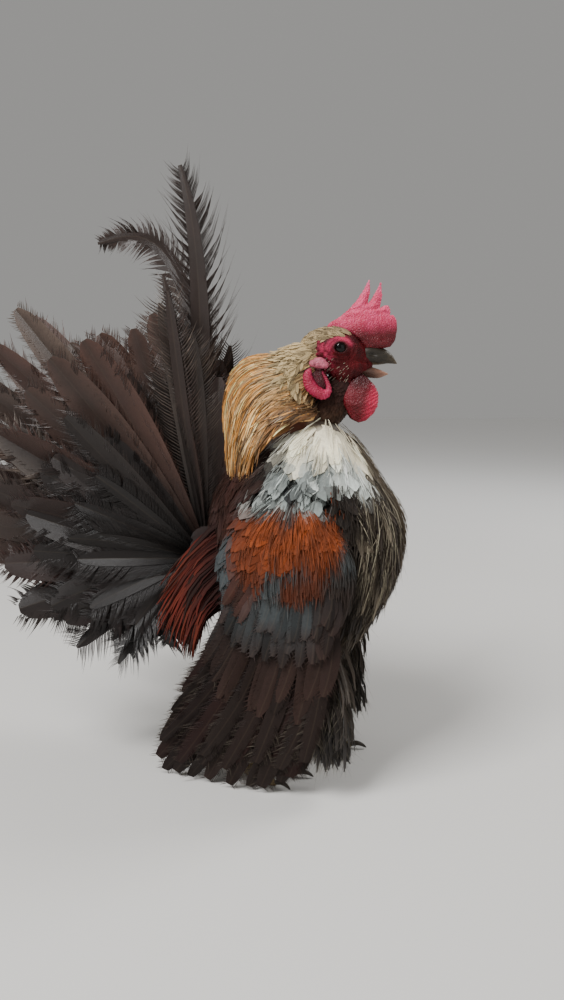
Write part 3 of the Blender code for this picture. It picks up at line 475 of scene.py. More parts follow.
def scute_material(name):
    """Scaly skin of the legs: the tint, darker in the seams between the scutes."""
    material, tree, shader, place = new_material(name, Specular_IOR_Level=0.4)
    seams = ramp(tree, voronoi_node(tree, place, 900, "DISTANCE_TO_EDGE"), 0.02, 0.2)
    colour, = use_group(tree, MOTTLE, Vector=place, Colour=tint_of(tree), Patches=0.4, Grain=0.35)
    # darker in the seams between the scutes
    colour = mix_colour(tree, turned_over(tree, seams, 0.5), colour, SEAM_DARK)
    surface(tree, shader, colour, math_node(tree, "MULTIPLY_ADD", seams, -0.15, 0.6), seams, 0.35)
    return material


def eye_material():
    """A wet eye: black pupil, dark brown iris with fine rays, near-black round it."""
    material, tree, shader, place = new_material("wet eye", Roughness=0.12, Specular_IOR_Level=0.22)
    rays = ramp(tree, noise_node(tree, place, 2400, 3, 0.6), 0.35, 0.65)
    rays = mix_colour(tree, rays, (0.6, 0.6, 0.6), (1.3, 1.2, 1.1))
    surface(tree, shader, mix_colour(tree, 1.0, tint_of(tree), rays, "MULTIPLY"))
    return material


def floor_material():
    """Pale plaster, a little cloudy near the bird and nearly white far off, where the paler colour is painted
    light that makes up for the lamps' light falling away.
    """
    material, tree, shader, place = new_material("studio floor", Roughness=0.75, Specular_IOR_Level=0.2)
    near = mix_colour(tree, noise_node(tree, place, 3, 3), (0.60, 0.585, 0.56), (0.66, 0.645, 0.62))
    distance = add_node(tree, "VectorMath", {0: place}, "Value", operation="LENGTH")
    # painted light: paler with distance from the bird
    surface(tree, shader, mix_colour(tree, ramp(tree, distance, 0.3, 1.4), near, (0.96, 0.955, 0.94)))
    return material


# Meshes


def to_model(places):
    places = np.array(places, float)
    places[..., 0] -= ORIGIN_X
    return places * MM


def attach(name, mesh, colours, material, nodes):
    """Makes a piece of a mesh: its tint and material, its body, and the CAD nodes that it stands for."""
    colours = np.broadcast_to(colours, (len(mesh.vertices), 3))
    rgba = np.concatenate([np.maximum(colours, 0), np.ones((len(colours), 1))], 1)
    tint = mesh.color_attributes.new("tint", "FLOAT_COLOR", "POINT")
    tint.data.foreach_set("color", rgba.astype(np.float32).ravel())
    mesh.name = name
    mesh.shade_smooth()
    mesh.materials.append(material)
    obj = bpy.data.objects.new(name, mesh)
    bpy.context.scene.collection.objects.link(obj)
    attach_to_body(obj, "root")
    if nodes:
        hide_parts(*nodes)


def finished(name, mesh, places, colours, material, nodes=()):
    """A piece from a mesh, with its places in millimetres of the bird."""
    mesh.vertices.foreach_set("co", to_model(np.float32(places)).astype(np.float32).ravel())
    mesh.update()
    attach(name, mesh, colours, material, nodes)


def bm_piece(name, bm, colour_of, material, node):
    mesh = bpy.data.meshes.new(name)
    bm.to_mesh(mesh)
    bm.free()
    places = read_mesh(mesh)[0]
    finished(name, mesh, places, colour_of(places), material, [node])


def read_mesh(mesh):
    """Where every vertex of a mesh is, and which way it faces."""
    read = []
    for values, name in ((mesh.vertices, "co"), (mesh.vertex_normals, "vector")):
        flat = np.empty(len(values) * 3, np.float32)
        values.foreach_get(name, flat)
        read.append(flat.reshape(-1, 3).astype(float))
    return read


def unit_sphere(segments, rings):
    """A bmesh sphere, its places, and their share along its axis and angle round it."""
    bm = bmesh.new()
    bmesh.ops.create_uvsphere(bm, u_segments=segments, v_segments=rings, radius=1)
    sphere = np.array([v.co for v in bm.verts])
    return bm, sphere, 0.5 - 0.5 * sphere[:, 2], np.arctan2(sphere[:, 1], sphere[:, 0])


def shaped(bm, places):
    for v, place in zip(bm.verts, places):
        v.co = place
    bmesh.ops.recalc_face_normals(bm, faces=bm.faces)
    return bm


def swept_mesh(form, segments, rings, shape=None):
    """A sphere drawn out into a form. shape may move its places."""
    bm, _, t, angle = unit_sphere(segments, rings)
    places = form.point(t, angle)
    return shaped(bm, shape(places, t, angle) if shape else places)


def ball_mesh(centre, radii, turned=True):
    bm, sphere, *_ = unit_sphere(24, 16)
    places = np.array(centre) + np.array(radii) * sphere
    return shaped(bm, turned_with_head(places) if turned else places)


def tube_mesh(points, radii, segments=16, rings=40, ridges=0.0, ridge_count=0):
    """A round tube through points, closed at both ends. ridges is the depth of the creases across it."""
    bm, _, t, angle = unit_sphere(segments, rings)
    end = np.sqrt(np.maximum(0, 1 - np.abs(2 * t - 1) ** 6))
    along = unit(spline(points, np.minimum(1, t + 0.02)) - spline(points, np.maximum(0, t - 0.02)))
    side = unit(np.cross(along, (0.13, 1, 0.05)))
    up = np.cross(side, along)
    creases = ridges * (1 - np.abs(np.sin(math.pi * t * ridge_count))) ** 2
    radius = (row_value(radii, t) - creases) * end
    round_it = side * (np.cos(angle) * radius)[:, None] + up * (np.sin(angle) * radius)[:, None]
    return shaped(bm, spline(points, t) + round_it)


def joined(meshes):
    """One bmesh from several, which are freed."""
    whole = bmesh.new()
    for bm in meshes:
        mesh = bpy.data.meshes.new("part")
        bm.to_mesh(mesh)
        bm.free()
        whole.from_mesh(mesh)
        bpy.data.meshes.remove(mesh)
    return whole


def voxel_skin(bm, voxel, smoothing):
    """One smooth closed skin round overlapping forms: its mesh, its places and its ways out."""
    mesh = bpy.data.meshes.new("skin")
    bm.to_mesh(mesh)
    bm.free()
    obj = bpy.data.objects.new("skin", mesh)
    bpy.context.scene.collection.objects.link(obj)
    remesh = obj.modifiers.new("voxels", "REMESH")
    remesh.mode, remesh.voxel_size = "VOXEL", voxel
    soften = obj.modifiers.new("soften", "SMOOTH")
    soften.iterations, soften.factor = smoothing, 0.5
    bpy.context.view_layer.update()
    made = bpy.data.meshes.new_from_object(obj.evaluated_get(bpy.context.evaluated_depsgraph_get()))
    bpy.data.objects.remove(obj)
    return made, *read_mesh(made)


def noise_at(places, size, seed=0.0):
    """Smooth noise from -1 to 1 at each place, with features of about this size."""
    shift = Vector((seed, 1.7 * seed, -seed))
    return np.array([noise.noise(Vector(p) / size + shift) for p in places])


def pebbles_at(places, size):
    """1 on the top of each pebble and 0 in the seams between them."""
    return np.array([1 - min(1.0, noise.voronoi(Vector(p) / size)[0][0] * 1.5) for p in places])


# Feather forms, in their own coordinates: t along the shaft, reach out to the edge, and small offsets


def broad(root=0.25, widest=0.6, tip=0.15):
    """Half-width share along a feather with a round end."""

    def outline(t):
        rise = root + (1 - root) * np.sin(0.5 * math.pi * np.clip(t / widest, 0, 1))
        fall = tip + (1 - tip) * np.sqrt(np.maximum(0, 1 - np.clip((t - widest) / (1 - widest), 0, 1) ** 2))
        return np.where(t < widest, rise, fall)

    return outline


def pointed(root=0.6, tip=0.05, power=1.0):
    """Half-width share along a lance-shaped feather."""

    def outline(t):
        rise = root + (1 - root) * np.minimum(1, t * 3.5)
        return (rise * (1 - (1 - tip) * np.clip(t, 0, 1) ** 1.9)) ** power

    return outline


def cone_mesh(segments, tip, cuts):
    """A cone of one unit's height, cut across into equal lengths."""
    bm = bmesh.new()
    bmesh.ops.create_cone(bm, cap_ends=True, segments=segments, radius1=1, radius2=tip, depth=1)
    for cut in range(1, cuts):
        bmesh.ops.bisect_plane(bm, geom=bm.verts[:] + bm.edges[:] + bm.faces[:], dist=1e-5,
                               plane_co=(0, 0, cut / cuts - 0.5), plane_no=(0, 0, 1))
    return bm


class Plume:
    """One kind of feather: the parts whose copies are laid along lines, and how they lie.

    outline is its half-width share along it, and camber how much it cups. Its barbs slant forwards, are blade
    wide, differ by ragged, droop, and part into clumps of clump_size between the shares fray of its length.
    """

    def __init__(self, outline, thick=0.1, camber=0.1, slant=1.0, blade=0.6, rachis=0.35, ragged=0.06,
                 clump=0.5, clump_size=5, droop=0.0, fray=(-1, 0), patch=BAKE_PATCH):
        self.outline, self.thick, self.camber, self.slant, self.blade = outline, thick, camber, slant, blade
        self.rachis, self.ragged, self.clump, self.clump_size = rachis, ragged, clump, clump_size
        self.droop, self.fray, self.patch = droop, fray, patch
        self.parts, self.faces, self.barbs = np.zeros((6, 0)), np.zeros((0, 3), int), 0

    def add(self, bm, t, reach, cross=0, lift=0, thick=0, barb=-1):
        """Adds a closed bmesh. The other values are one number each, or one for every vertex."""
        bmesh.ops.triangulate(bm, faces=bm.faces)
        bm.verts.index_update()
        faces = np.array([[v.index for v in f.verts] for f in bm.faces])
        self.faces = np.concatenate([self.faces, faces + self.parts.shape[1]])
        given = (t, reach, cross, lift, thick, barb)
        rows = [np.broadcast_to(np.asarray(v, float), (len(bm.verts),)) for v in given]
        self.parts = np.concatenate([self.parts, rows], 1)
        bm.free()

    def sheet(self, columns, rows, share=1.0, crowd=1.3, start=0.0):
        """The closed vane, out to a share of the feather's width."""
        bm = bmesh.new()
        bmesh.ops.create_grid(bm, x_segments=columns, y_segments=rows, size=1)
        bmesh.ops.triangulate(bm, faces=bm.faces, quad_method="FIXED")
        bmesh.ops.solidify(bm, geom=bm.faces[:], thickness=1)
        bmesh.ops.recalc_face_normals(bm, faces=bm.faces)
        place = np.array([v.co for v in bm.verts])
        height = (place[:, 2] - place[:, 2].min()) / np.ptp(place[:, 2])
        t = start + (1 - start) * (1 - (0.5 - 0.5 * place[:, 1]) ** crowd)
        self.add(bm, t, place[:, 0] * share, thick=2 * height - 1)
        return self

    def shaft(self, rows=6):
        """The rachis, which thins to the tip. Its width is kept as lift 1."""
        bm = cone_mesh(4, 0.15, rows)
        bmesh.ops.recalc_face_normals(bm, faces=bm.faces)
        place = np.array([v.co for v in bm.verts])
        self.add(bm, place[:, 2] + 0.5, 0, lift=place[:, 0], thick=-place[:, 1] * 2.2)
        return self

    def fringe(self, per_side, first=0.08, last=0.985, inner=0.0, cuts=2):
        """Separate barbs down both sides, from inner out to the edge."""
        for side in (-1, 1):
            for place in range(per_side):
                root = first + (last - first) * (place + 0.5 * (side > 0)) / (per_side - 0.5)
                bm = cone_mesh(3, 0, cuts)
                bmesh.ops.remove_doubles(bm, verts=bm.verts, dist=1e-4)
                if side > 0:
                    bmesh.ops.reverse_faces(bm, faces=bm.faces)
                cone = np.array([v.co for v in bm.verts])
                out = cone[:, 2] + 0.5
                # a cone thins evenly, but a barb keeps its width to near its tip
                swell = (1 - out**2.2) / np.maximum(1 - out, 0.12)
                self.add(bm, root, side * (inner + (1 - inner) * out), cone[:, 0] * swell,
                         thick=cone[:, 1] * swell * 0.8, barb=self.barbs)
                self.barbs += 1
        return self


def along_lines(lines, t):
    """Points at t (N, V) on lines (N, K, 3), carried straight on past their ends."""
    place = t * (lines.shape[1] - 1)
    i = np.clip(place.astype(int), 0, lines.shape[1] - 2)
    f = (place - i)[..., None]
    n = np.arange(len(lines))[:, None]
    return lines[n, i] * (1 - f) + lines[n, i + 1] * f


def bent_lines(root, bend, tip, stations):
    """Lines from roots to tips, each drawn towards its own bend."""
    s = np.linspace(0, 1, stations)[:, None]
    root, bend, tip = root[:, None], bend[:, None], tip[:, None]
    return (1 - s) ** 2 * root + 2 * s * (1 - s) * bend + s * s * tip


def form_bake(t, angle):
    """The place of (t, angle) on the unwrap of a swept form."""
    return stack(np.mod(angle / (2 * math.pi) + 0.5, 1) * 0.94 + 0.03, np.clip(t, 0, 1) * 0.94 + 0.03)


class Coat:
    """A tract of feathers that becomes one piece."""

    def __init__(self, name, material, slot, *nodes):
        self.name, self.material, self.slot, self.nodes = name, material, slot, nodes
        self.laid, self.count = [], 0

    def lay(self, plume, lines, ups, widths, colour_of, bake, seed):
        """Lays one feather on each line (N, K, 3), its face turned the way of ups (N, K, 3)."""
        rng = np.random.default_rng(seed)
        number = len(lines)
        lengths = np.linalg.norm(np.diff(lines, axis=1), axis=2).sum(1)[:, None]
        t0, reach0, cross, lift, thick, barb = plume.parts
        t0 = np.broadcast_to(t0, (number, len(t0)))
        is_barb, which = barb >= 0, np.maximum(barb, 0).astype(int)
        order = np.arange(max(plume.barbs, 1))
        group = order // plume.clump_size
        size = rng.normal(0, plume.ragged, (number, len(order)))
        gather = rng.normal(0, 0.10, (number, group.max() + 1))[:, group]
        within = (order % plume.clump_size - (plume.clump_size - 1) / 2) / plume.clump_size
        swing = gather - plume.clump * within * rng.uniform(0.2, 1.0, (number, group.max() + 1))[:, group]
        bow = rng.normal(0, 0.5, (number, group.max() + 1))[:, group] * plume.droop
        loose = 0.2 + 0.8 * smooth(*plume.fray, t0)
        size, swing, bow = (np.where(is_barb, v[:, which], 0) * loose for v in (size, swing, bow))
        reach = np.abs(reach0) * (1 + size)
        signed = reach * np.sign(reach0)
        half = column(widths) / 2 * plume.outline(t0)
        lean = np.where(is_barb, plume.slant * (0.55 + 0.45 * reach) + swing * reach, 0)
        t = t0 + lean * half * reach / lengths
        along = unit(along_lines(unit(np.gradient(lines, axis=1)), t))
        side = unit(np.cross(along, along_lines(ups, t)))
        up = np.cross(side, along)
        rachis = plume.rachis * (1 - 0.75 * t0)
        across = signed * half + lift * rachis
        depth = np.where(lift != 0, rachis * 0.8, plume.thick / 2)
        over = (bow - plume.camber * half) * reach**2 + thick * depth
        places = along_lines(lines, t) + side * across[..., None] + up * over[..., None]
        places += along * (cross * plume.blade)[:, None]
        places[..., 2] = np.maximum(places[..., 2], 0.1)
        draw = rng.random((number, 1))
        seen = along_lines(lines, np.full((number, 1), SEEN_AT))
        colours = colour_of(seen, t, signed, draw, which * is_barb)
        colours = np.minimum(np.broadcast_to(colours, places.shape), 1)
        faces = plume.faces + self.count + (np.arange(number) * t.shape[1])[:, None, None]
        corner = stack(0.5 * np.sign(reach0) * np.minimum(reach, 1), np.clip(t, 0, 1) - 0.5)
        baked = np.asarray(bake)[:, None] + plume.patch * corner
        vane = stack(across, t * lengths) / 10
        self.laid.append([v.reshape(-1, v.shape[-1]) for v in (places, faces, colours, vane, baked)])
        self.count += t.size

    def grow(self, plume, form, t, angle, reach, drift, low, high, *, hang=0.0, back=0.0, tilt=0.0, widths,
             colour_of, seed, stations=7, power=0.8, bake=None):
        """Lays feathers that start at (t, angle) on a form and run along it by reach, turning by drift.

        They rise from low to high, hang down and lie back at their ends, and tilt turns their faces.
        """
        s = np.linspace(0, 1, stations)
        tt, aa = np.clip(column(t) + column(reach) * s, 0, 1), column(angle) + column(drift) * s
        ups = form.normal(tt, aa)
        rise = column(low) + (column(high) - column(low)) * s**power
        lines = form.point(tt, aa) + ups * rise[..., None]
        lines[..., 2] -= column(hang) * s**2
        lines[..., 0] -= column(back) * s
        bake = form_bake(t, angle) if bake is None else bake
        self.lay(plume, lines, ups + tilt, widths, colour_of, bake, seed)

    def strands(self, form, span, t, angle, rng, count, scatter, length, lift, colour_of, seed, turn):
        """Single loose barbs from among the roots (t, angle), which soften the edges of the feathers."""
        pick = rng.integers(0, len(t), count)
        length, lift = (np.broadcast_to(v, len(t))[pick] for v in (length, lift))
        t, angle = t[pick] + rng.normal(0, scatter[0], count), angle[pick] + rng.normal(0, scatter[1], count)
        rng = np.random.default_rng(seed)
        drift = rng.normal(0, turn, count) * length / np.maximum(form.point(t, angle)[:, 1] ** 2, 400) ** 0.5
        high = lift * (0.8 + 0.5 * rng.random(count))
        reach = length * (0.7 + 0.6 * rng.random(count)) / span
        self.grow(STRAND, form, t, angle, reach, drift, 0.6 * lift, high,
                  tilt=rng.normal(0, 0.15, (count, 1, 3)), widths=0.35 + 0.35 * rng.random(count),
                  colour_of=colour_of, seed=seed + 1, stations=5, power=0.7)

    def finish(self):
        """The piece: a joined mesh of many small closed forms."""
        places, faces, colours, vane, bake = (np.concatenate(v) for v in zip(*self.laid))
        mesh = bpy.data.meshes.new(self.name)
        mesh.vertices.add(len(places))
        mesh.vertices.foreach_set("co", to_model(places).astype(np.float32).ravel())
        mesh.loops.add(faces.size)
        mesh.loops.foreach_set("vertex_index", faces.astype(np.int32).ravel())
        mesh.polygons.add(len(faces))
        mesh.polygons.foreach_set("loop_start", np.arange(0, faces.size, 3, dtype=np.int32))
        mesh.update(calc_edges=True)
        for name, corners in (("vane", vane), ("OFBake", bake)):
            flat = corners[faces.ravel()].astype(np.float32).ravel()
            mesh.uv_layers.new(name=name).data.foreach_set("uv", flat)
        attach(self.name, mesh, colours, self.material, self.nodes)
        mesh.set_sharp_from_angle(angle=math.radians(75))


STRAND = Plume(pointed()).sheet(1, 2)


def staggered(rows, per_row, seed, jitter):
    """Row and place shares, from 0 to 1 both, of feathers set like tiles with some disorder."""
    rng = np.random.default_rng(seed)
    counts = [per_row(r / (rows - 1)) if callable(per_row) else per_row for r in range(rows)]
    row = np.concatenate([np.full(count, r, float) for r, count in enumerate(counts)])
    place = [(np.arange(count) + 0.5 * (r % 2) + 0.25) / count for r, count in enumerate(counts)]
    place = np.concatenate(place)
    row = row + rng.uniform(-jitter, jitter, len(row))
    place = place + rng.uniform(-jitter, jitter, len(place)) / max(len(place) / rows, 1)
    return np.clip(row / (rows - 1), 0, 1), place


def kept_roots(form, t, angle, test):
    """The roots on a form whose places (x, y, z) pass a test, and those places."""
    places = form.point(t, angle)
    kept = test(*places.T)
    return t[kept], angle[kept], places[kept].T


def bell(values, middle, width):
    """1 at the middle, falling to nothing about twice the width away."""
    return np.exp(-(((values - middle) / width) ** 2))


# Markings, the same on the skin and on the feathers


def shoulder_shadow(x, z):
    """1 in the hollow between the shoulder and the white of the breast, which is painted dark as shade."""
    return smooth(-1.5, 1.5, x - 72 - 0.5 * (143 - z)) * inside(z, 112, 142, 2) * smooth(92, 86, x)


def grizzled_grey(x, y, z):
    """Pale grey with fine dark and white marks, as on the shoulders."""
    speckle = 0.5 + 0.5 * np.sin(x * 1.9 + 3 * np.sin(z * 1.1)) * np.sin(z * 1.7 + y)
    colour = mix(DARK_SLATE, ASH, smooth(0.15, 0.75, speckle))
    return mix(colour, CHALK, 0.6 * smooth(0.85, 0.97, speckle))


def petal_colour(place):
    """The coat's colour on its round feathers, which are less frosted than the hair over them."""
    return body_colour(place, 0.3)


def body_colour(place, frost=1.0):
    """The colour of the coat of breast, belly, back and thighs, at a place on it, with painted shade low on
    the body and in the hollows beside the shoulder and wing.
    """
    x, y, z = np.moveaxis(np.asarray(place, float), -1, 0)
    side = np.abs(y)
    drift = 2.5 * np.sin(z * 0.31 + 1.3 * np.sin(side * 0.4)) + 1.5 * np.sin(x * 0.7 + z * 0.23)
    streak = 0.5 + 0.5 * np.sin(x * 2.7 + 2 * np.sin(z * 0.5) + side * 3.1)
    grizzled = inside(z + drift, 70, 140, 12) * smooth(80, 90, x) * smooth(6, 20, side)
    rim = np.interp(x, WHITE_RIM_X, WHITE_RIM_Z)
    white = smooth(-5, 4, z + 0.8 * drift - rim) * smooth(13, 21, side + 0.6 * drift)
    cream = smooth(148, 158, z + drift) * smooth(46, 58, x) * smooth(6, 12, side + 0.5 * drift)
    # painted shadow in the gap between the wing and the breast lobe
    shadow_wedge = inside(x + 0.1 * (z - 130), 73, 87, 2) * inside(z - rim, -62, -5, 3) * smooth(17, 23, side)
    shoulder = inside(x, 40, 77, 5) * smooth(126, 134, z) * smooth(22, 28, side)
    edge = inside(x - 0.4 * (z - 145), 38, 46, 2) * smooth(22, 28, side) * inside(z, 126, 160, 3)
    dusk = mix(OXBLOOD * 0.3, MAHOGANY * 0.12 + UMBER * 0.12, smooth(85, 122, z + drift))
    arm = inside(x, 34, 81, 3) * smooth(29, 33, side) * inside(z, 108, 138, 4)
    return layered(
        mix(SOOT, UMBER * 1.2, streak),
        (TAUPE, frost * grizzled * smooth(0.45, 0.95, streak)),
        (BREAST_FRONT, 0.7 * smooth(16, 6, side) * smooth(100, 130, z)),
        (mix(ASH, CHALK, 0.35 + 0.65 * streak), white),
        (CREAM, cream),
        (SOOT * 0.6, 0.92 * shadow_wedge),
        (grizzled_grey(x, y, z), shoulder * (1 - smooth(151, 158, z + drift))),
        # painted shade in the hollow in front of the shoulder
        (SOOT * 0.6, shoulder_shadow(x, z) * smooth(20, 26, side)),
        (SOOT * 0.7, 0.9 * edge),
        # painted shade: near black low on the body
        (SOOT, 0.8 * (1 - smooth(44, 74, z))),
        (dusk, (1 - smooth(34, 48, x)) * smooth(70, 84, z)),
        (wing_colour(place), arm),
    )


def with_pattern(base, dark_edge=0.0, edge_highlight=0.0, spread=0.25, root_shade=0.75):
    """A colour function of a tract: its base from its place, varied by feather, along it and at its edge,
    with a painted highlight on the edges and painted shade at the roots.
    """

    def colour_of(place, t, reach, draw, barb):
        colour = base(place) if callable(base) else base
        colour = colour * (1 + spread * (2 * draw[..., None] - 1))
        edge = np.maximum(smooth(0.55, 1.0, np.abs(reach)), smooth(0.75, 1.0, t))
        colour = colour * (1 - dark_edge * edge[..., None])
        # painted highlight: each feather's edge made paler
        colour = mix(colour, colour * 1.5 + 0.02, edge_highlight * edge)
        return colour * (root_shade + (1 - root_shade) * smooth(0.1, 0.6, t))[..., None]

    return colour_of


# The flesh: one skin under all the feathers, the bare face, comb, wattles and lobes


def make_body_skin(material):
    """The skin of head, neck, trunk, rump and thighs as one closed surface inside the coat."""
    forms = [swept_mesh(f, 48, 32) for f in (TORSO, Form(NECK_ROWS), SKULL, THROAT)]
    for side in SIDES:
        forms += [swept_mesh(f, 32, 20) for f in (THIGH[side], RUMP[side], WING_ARM[side])]
    mesh, places, normals = voxel_skin(joined(forms), 1.1, 6)
    x, y, z = places.T
    # painted shade: the skin takes the coat's colours darkened, and a dark copper under the hackles, as the
    # coat looks deep between its feathers
    colours = body_colour(places) * (0.35 + 0.3 * smooth(150, 165, z))[:, None]
    colours = mix(colours, COPPER * 0.35, smooth(150, 170, z) * (1 - smooth(60, 70, x)))
    bumps = noise_at(places, 2.6) * 0.25
    nodes = ["head", "neck", "torso", "thigh_right", "thigh_left"]
    finished("body_skin", mesh, places + normals * (bumps - 0.8)[:, None], colours, material, nodes)


def eye_distance(places, side):
    """How far places of the unturned head lie from the eye's middle, measured as an almond."""
    far = np.where(np.sign(places[:, 1]) == side, 0, 50)
    return np.hypot((places[:, 0] - EYE[0]) / 1.12, (places[:, 2] - EYE[2]) / 0.92) + far


def make_face(material):
    """The bare skin of the head, with lids, folds round the eye, a gape and wrinkled cheeks."""
    forms = [swept_mesh(Form(SKULL_ROWS), 64, 40), swept_mesh(Form(THROAT_ROWS), 48, 32)]
    forms += [ball_mesh((77, side * 4.6, 198), (8.5, 4.6, 7.0), False) for side in SIDES]
    forms += [ball_mesh((84, 0, 199.5), (6.5, 5.6, 5.5), False)]
    mesh, places, normals = voxel_skin(joined(forms), 0.42, 8)
    x, y, z = places.T
    push = 0.22 * noise_at(places, 1.6) + 0.16 * noise_at(places, 0.8, 3.0)
    outward = np.zeros_like(places)
    for side in SIDES:
        r = eye_distance(places, side)
        lid = 1.6 * bell(r, 2.9, 0.75) + 0.45 * bell(r, 5.3, 0.5)
        lid += 0.4 * bell(r, 7.2, 0.55) * (z < EYE[2] + 2)
        brow = 0.7 * bell(r, 4.6, 1.0) * smooth(0, 3, z - EYE[2])
        hollow = -2.2 * (1 - smooth(1.6, 2.3, r))
        outward[:, 1] += side * (lid + brow + hollow)
    wrinkles = np.sin(x * 1.9 + 2.2 * noise_at(places, 5.0, 7.0)) * 0.16 * smooth(176, 186, z)
    gape = bell(z + 0.12 * (x - 84), 200.6, 0.7) * smooth(79, 84, x) * smooth(2.5, 4.5, np.abs(y))
    push += wrinkles * (1 - smooth(199, 203, z)) - 0.9 * gape
    moved = places + normals * push[:, None] + outward
    eye = np.minimum(eye_distance(places, RIGHT), eye_distance(places, LEFT))
    blotch = 0.5 + 0.5 * noise_at(places, 1.8, 9.0)
    brow = bell(eye, 4.8, 1.3) * smooth(-2.5, 2.0, z - EYE[2] - 0.25 * (x - EYE[0]))
    colours = layered(
        (0.26, 0.10, 0.14),
        ((1.2, 1.9, 2.6), smooth(74, 67, x) * smooth(192, 198, z) * smooth(0.25, 0.7, blotch)),
        ((1.5, 2.8, 3.6), 0.9 * brow),
        ((0.10, 0.08, 0.08), bell(eye, 2.5, 0.6)),
        ((0.35, 0.22, 0.2), gape),
        # painted shade: darker on the lower face, under the head
        ((0.22, 0.25, 0.25), 1 - smooth(180, 192, z)),
    )
    finished("face_skin", mesh, turned_with_head(moved), colours, material)
    spots = (x > 66) & (x < 79) & (z > 189) & (z < 202) & (np.abs(y) > 5) & (eye > 5.5)
    return turned_with_head(moved)[spots], turned_with_head(moved + normals)[spots]


def flesh_copy(node, voxel, name, shape, material):
    """A fleshy part: its CAD node's mesh merged, made one smooth skin, then worked by shape."""
    bm = bmesh.new()
    bm.from_mesh(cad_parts[node].data)
    bmesh.ops.remove_doubles(bm, verts=bm.verts, dist=1e-6)
    bmesh.ops.scale(bm, vec=(1 / MM, 1 / MM, 1 / MM), verts=bm.verts)
    bmesh.ops.translate(bm, vec=(ORIGIN_X, 0, 0), verts=bm.verts)
    mesh, places, normals = voxel_skin(bm, voxel, 12)
    moved, colours = shape(places, normals)
    finished(name, mesh, moved, colours, material, [node])


def comb_shape(places, normals):
    """Fine pebbles and wrinkles all over, a smooth base of deeper red darkened further by painted shade,
    upper parts brightened by painted light, painted highlights on the pebble tops and pale points from a
    painted highlight.
    """
    x, y, z = places.T
    low = 1 - smooth(211, 222, z - 0.1 * (x - 84))
    lump = 0.22 * noise_at(places, 4.5) + 0.10 * noise_at(places, 1.7, 2.0)
    pebbles = pebbles_at(places, 0.95)
    rough = 1 - 0.7 * low
    swell = 0.35 * bell(z, 215, 6) + 0.15
    moved = places + normals * (lump + (0.34 * pebbles - 0.12) * rough + swell)[:, None]
    # deeper red at the base, with painted shade there and painted light above
    colours = mix((1.2, 2.6, 2.0), (0.15, 0.05, 0.07), low) * (1 - 0.25 * rough[:, None])
    # painted highlights on the tops of the pebbles
    colours = mix(colours, (1.4, 5.0, 3.4), 0.6 * smooth(0.4, 0.95, pebbles) * (1 - low))
    # painted highlight on the tops of the points
    return moved, mix(colours, (1.3, 7.0, 4.0), smooth(231, 238, z) * 0.75)


def wattle_shape(places, normals):
    """Hanging skin with a rounded rim, finely wrinkled, with painted light in front, painted shade behind and
    at the top, and painted highlights on the front wrinkles.
    """
    x, y, z = places.T
    front = smooth(86, 92, x - 0.25 * (z - 183))
    wrinkle = np.sin(z * 3.6 - x * 2.2 + 2.5 * noise_at(places, 4.0))
    lump = 0.25 * noise_at(places, 4.0, 1.0) + 0.14 * wrinkle * (0.3 + 0.7 * front)
    lump += 0.12 * pebbles_at(places, 1.2)
    # painted light and shade: bright in front, dark behind
    colours = mix((0.26, 0.14, 0.18), (1.0, 1.3, 1.2), front)
    # painted highlights on the wrinkles in front
    colours = mix(colours, (1.1, 3.4, 2.4), 0.35 * front * smooth(0.2, 1.0, wrinkle))
    # painted shade: darker at the top, under the jaw
    return places + normals * (lump + 0.2)[:, None], colours * (0.4 + 0.65 * smooth(194, 185, z))[:, None]


def make_lobe(side, material):
    """The ear's folded lobe: a wrinkled pink loop with painted highlights on its wrinkles, round a hollow
    darkened by painted shade, under a pale knob.
    """
    end = SIDE_NAMES[side]
    rim = [(x, side * LOBE_Y, z) for x, z in LOBE_FOLD]
    forms = [tube_mesh(turned_with_head(rim), LOBE_RADII, 24, 64)]
    forms += [ball_mesh((63.8, side * 8.6, 191), (5.2, 1.9, 6.4))]
    forms += [ball_mesh((x, side * 10.2, z), (r, 2.0, 0.8 * r)) for x, z, r in LOBE_KNOBS]
    mesh, places, normals = voxel_skin(joined(forms), 0.34, 3)
    x, y, z = turned_with_head(places, -HEAD_TURN).T
    wrinkle = np.sin(np.arctan2(z - 191, x - 64) * 26 + 2.5 * noise_at(places, 2.5))
    rim_share = smooth(9.9, 11.2, np.abs(y)) * (1 - smooth(195, 197, z))
    push = 0.10 * wrinkle * rim_share + 0.18 * noise_at(places, 2.5, 4.0) + 0.12 * pebbles_at(places, 1.1)
    # painted shade: dark in the hollow inside the loop
    colours = mix((0.12, 0.08, 0.10), (1.0, 1.9, 1.9), smooth(10.3, 12.2, np.abs(y)))
    # painted highlights on the wrinkles of the rim
    colours = mix(colours, (1.2, 4.5, 3.6), 0.4 * smooth(0.2, 1.0, wrinkle) * rim_share)
    knob = np.array([1.25, 12.0, 4.6]) * (0.75 + 0.35 * noise_at(places, 1.2))[:, None]
    colours = mix(colours, knob, smooth(196.4, 197.6, z))
    finished("earlobe_flesh_" + end, mesh, places + normals * push[:, None], colours, material,
             ["earlobe_" + end])


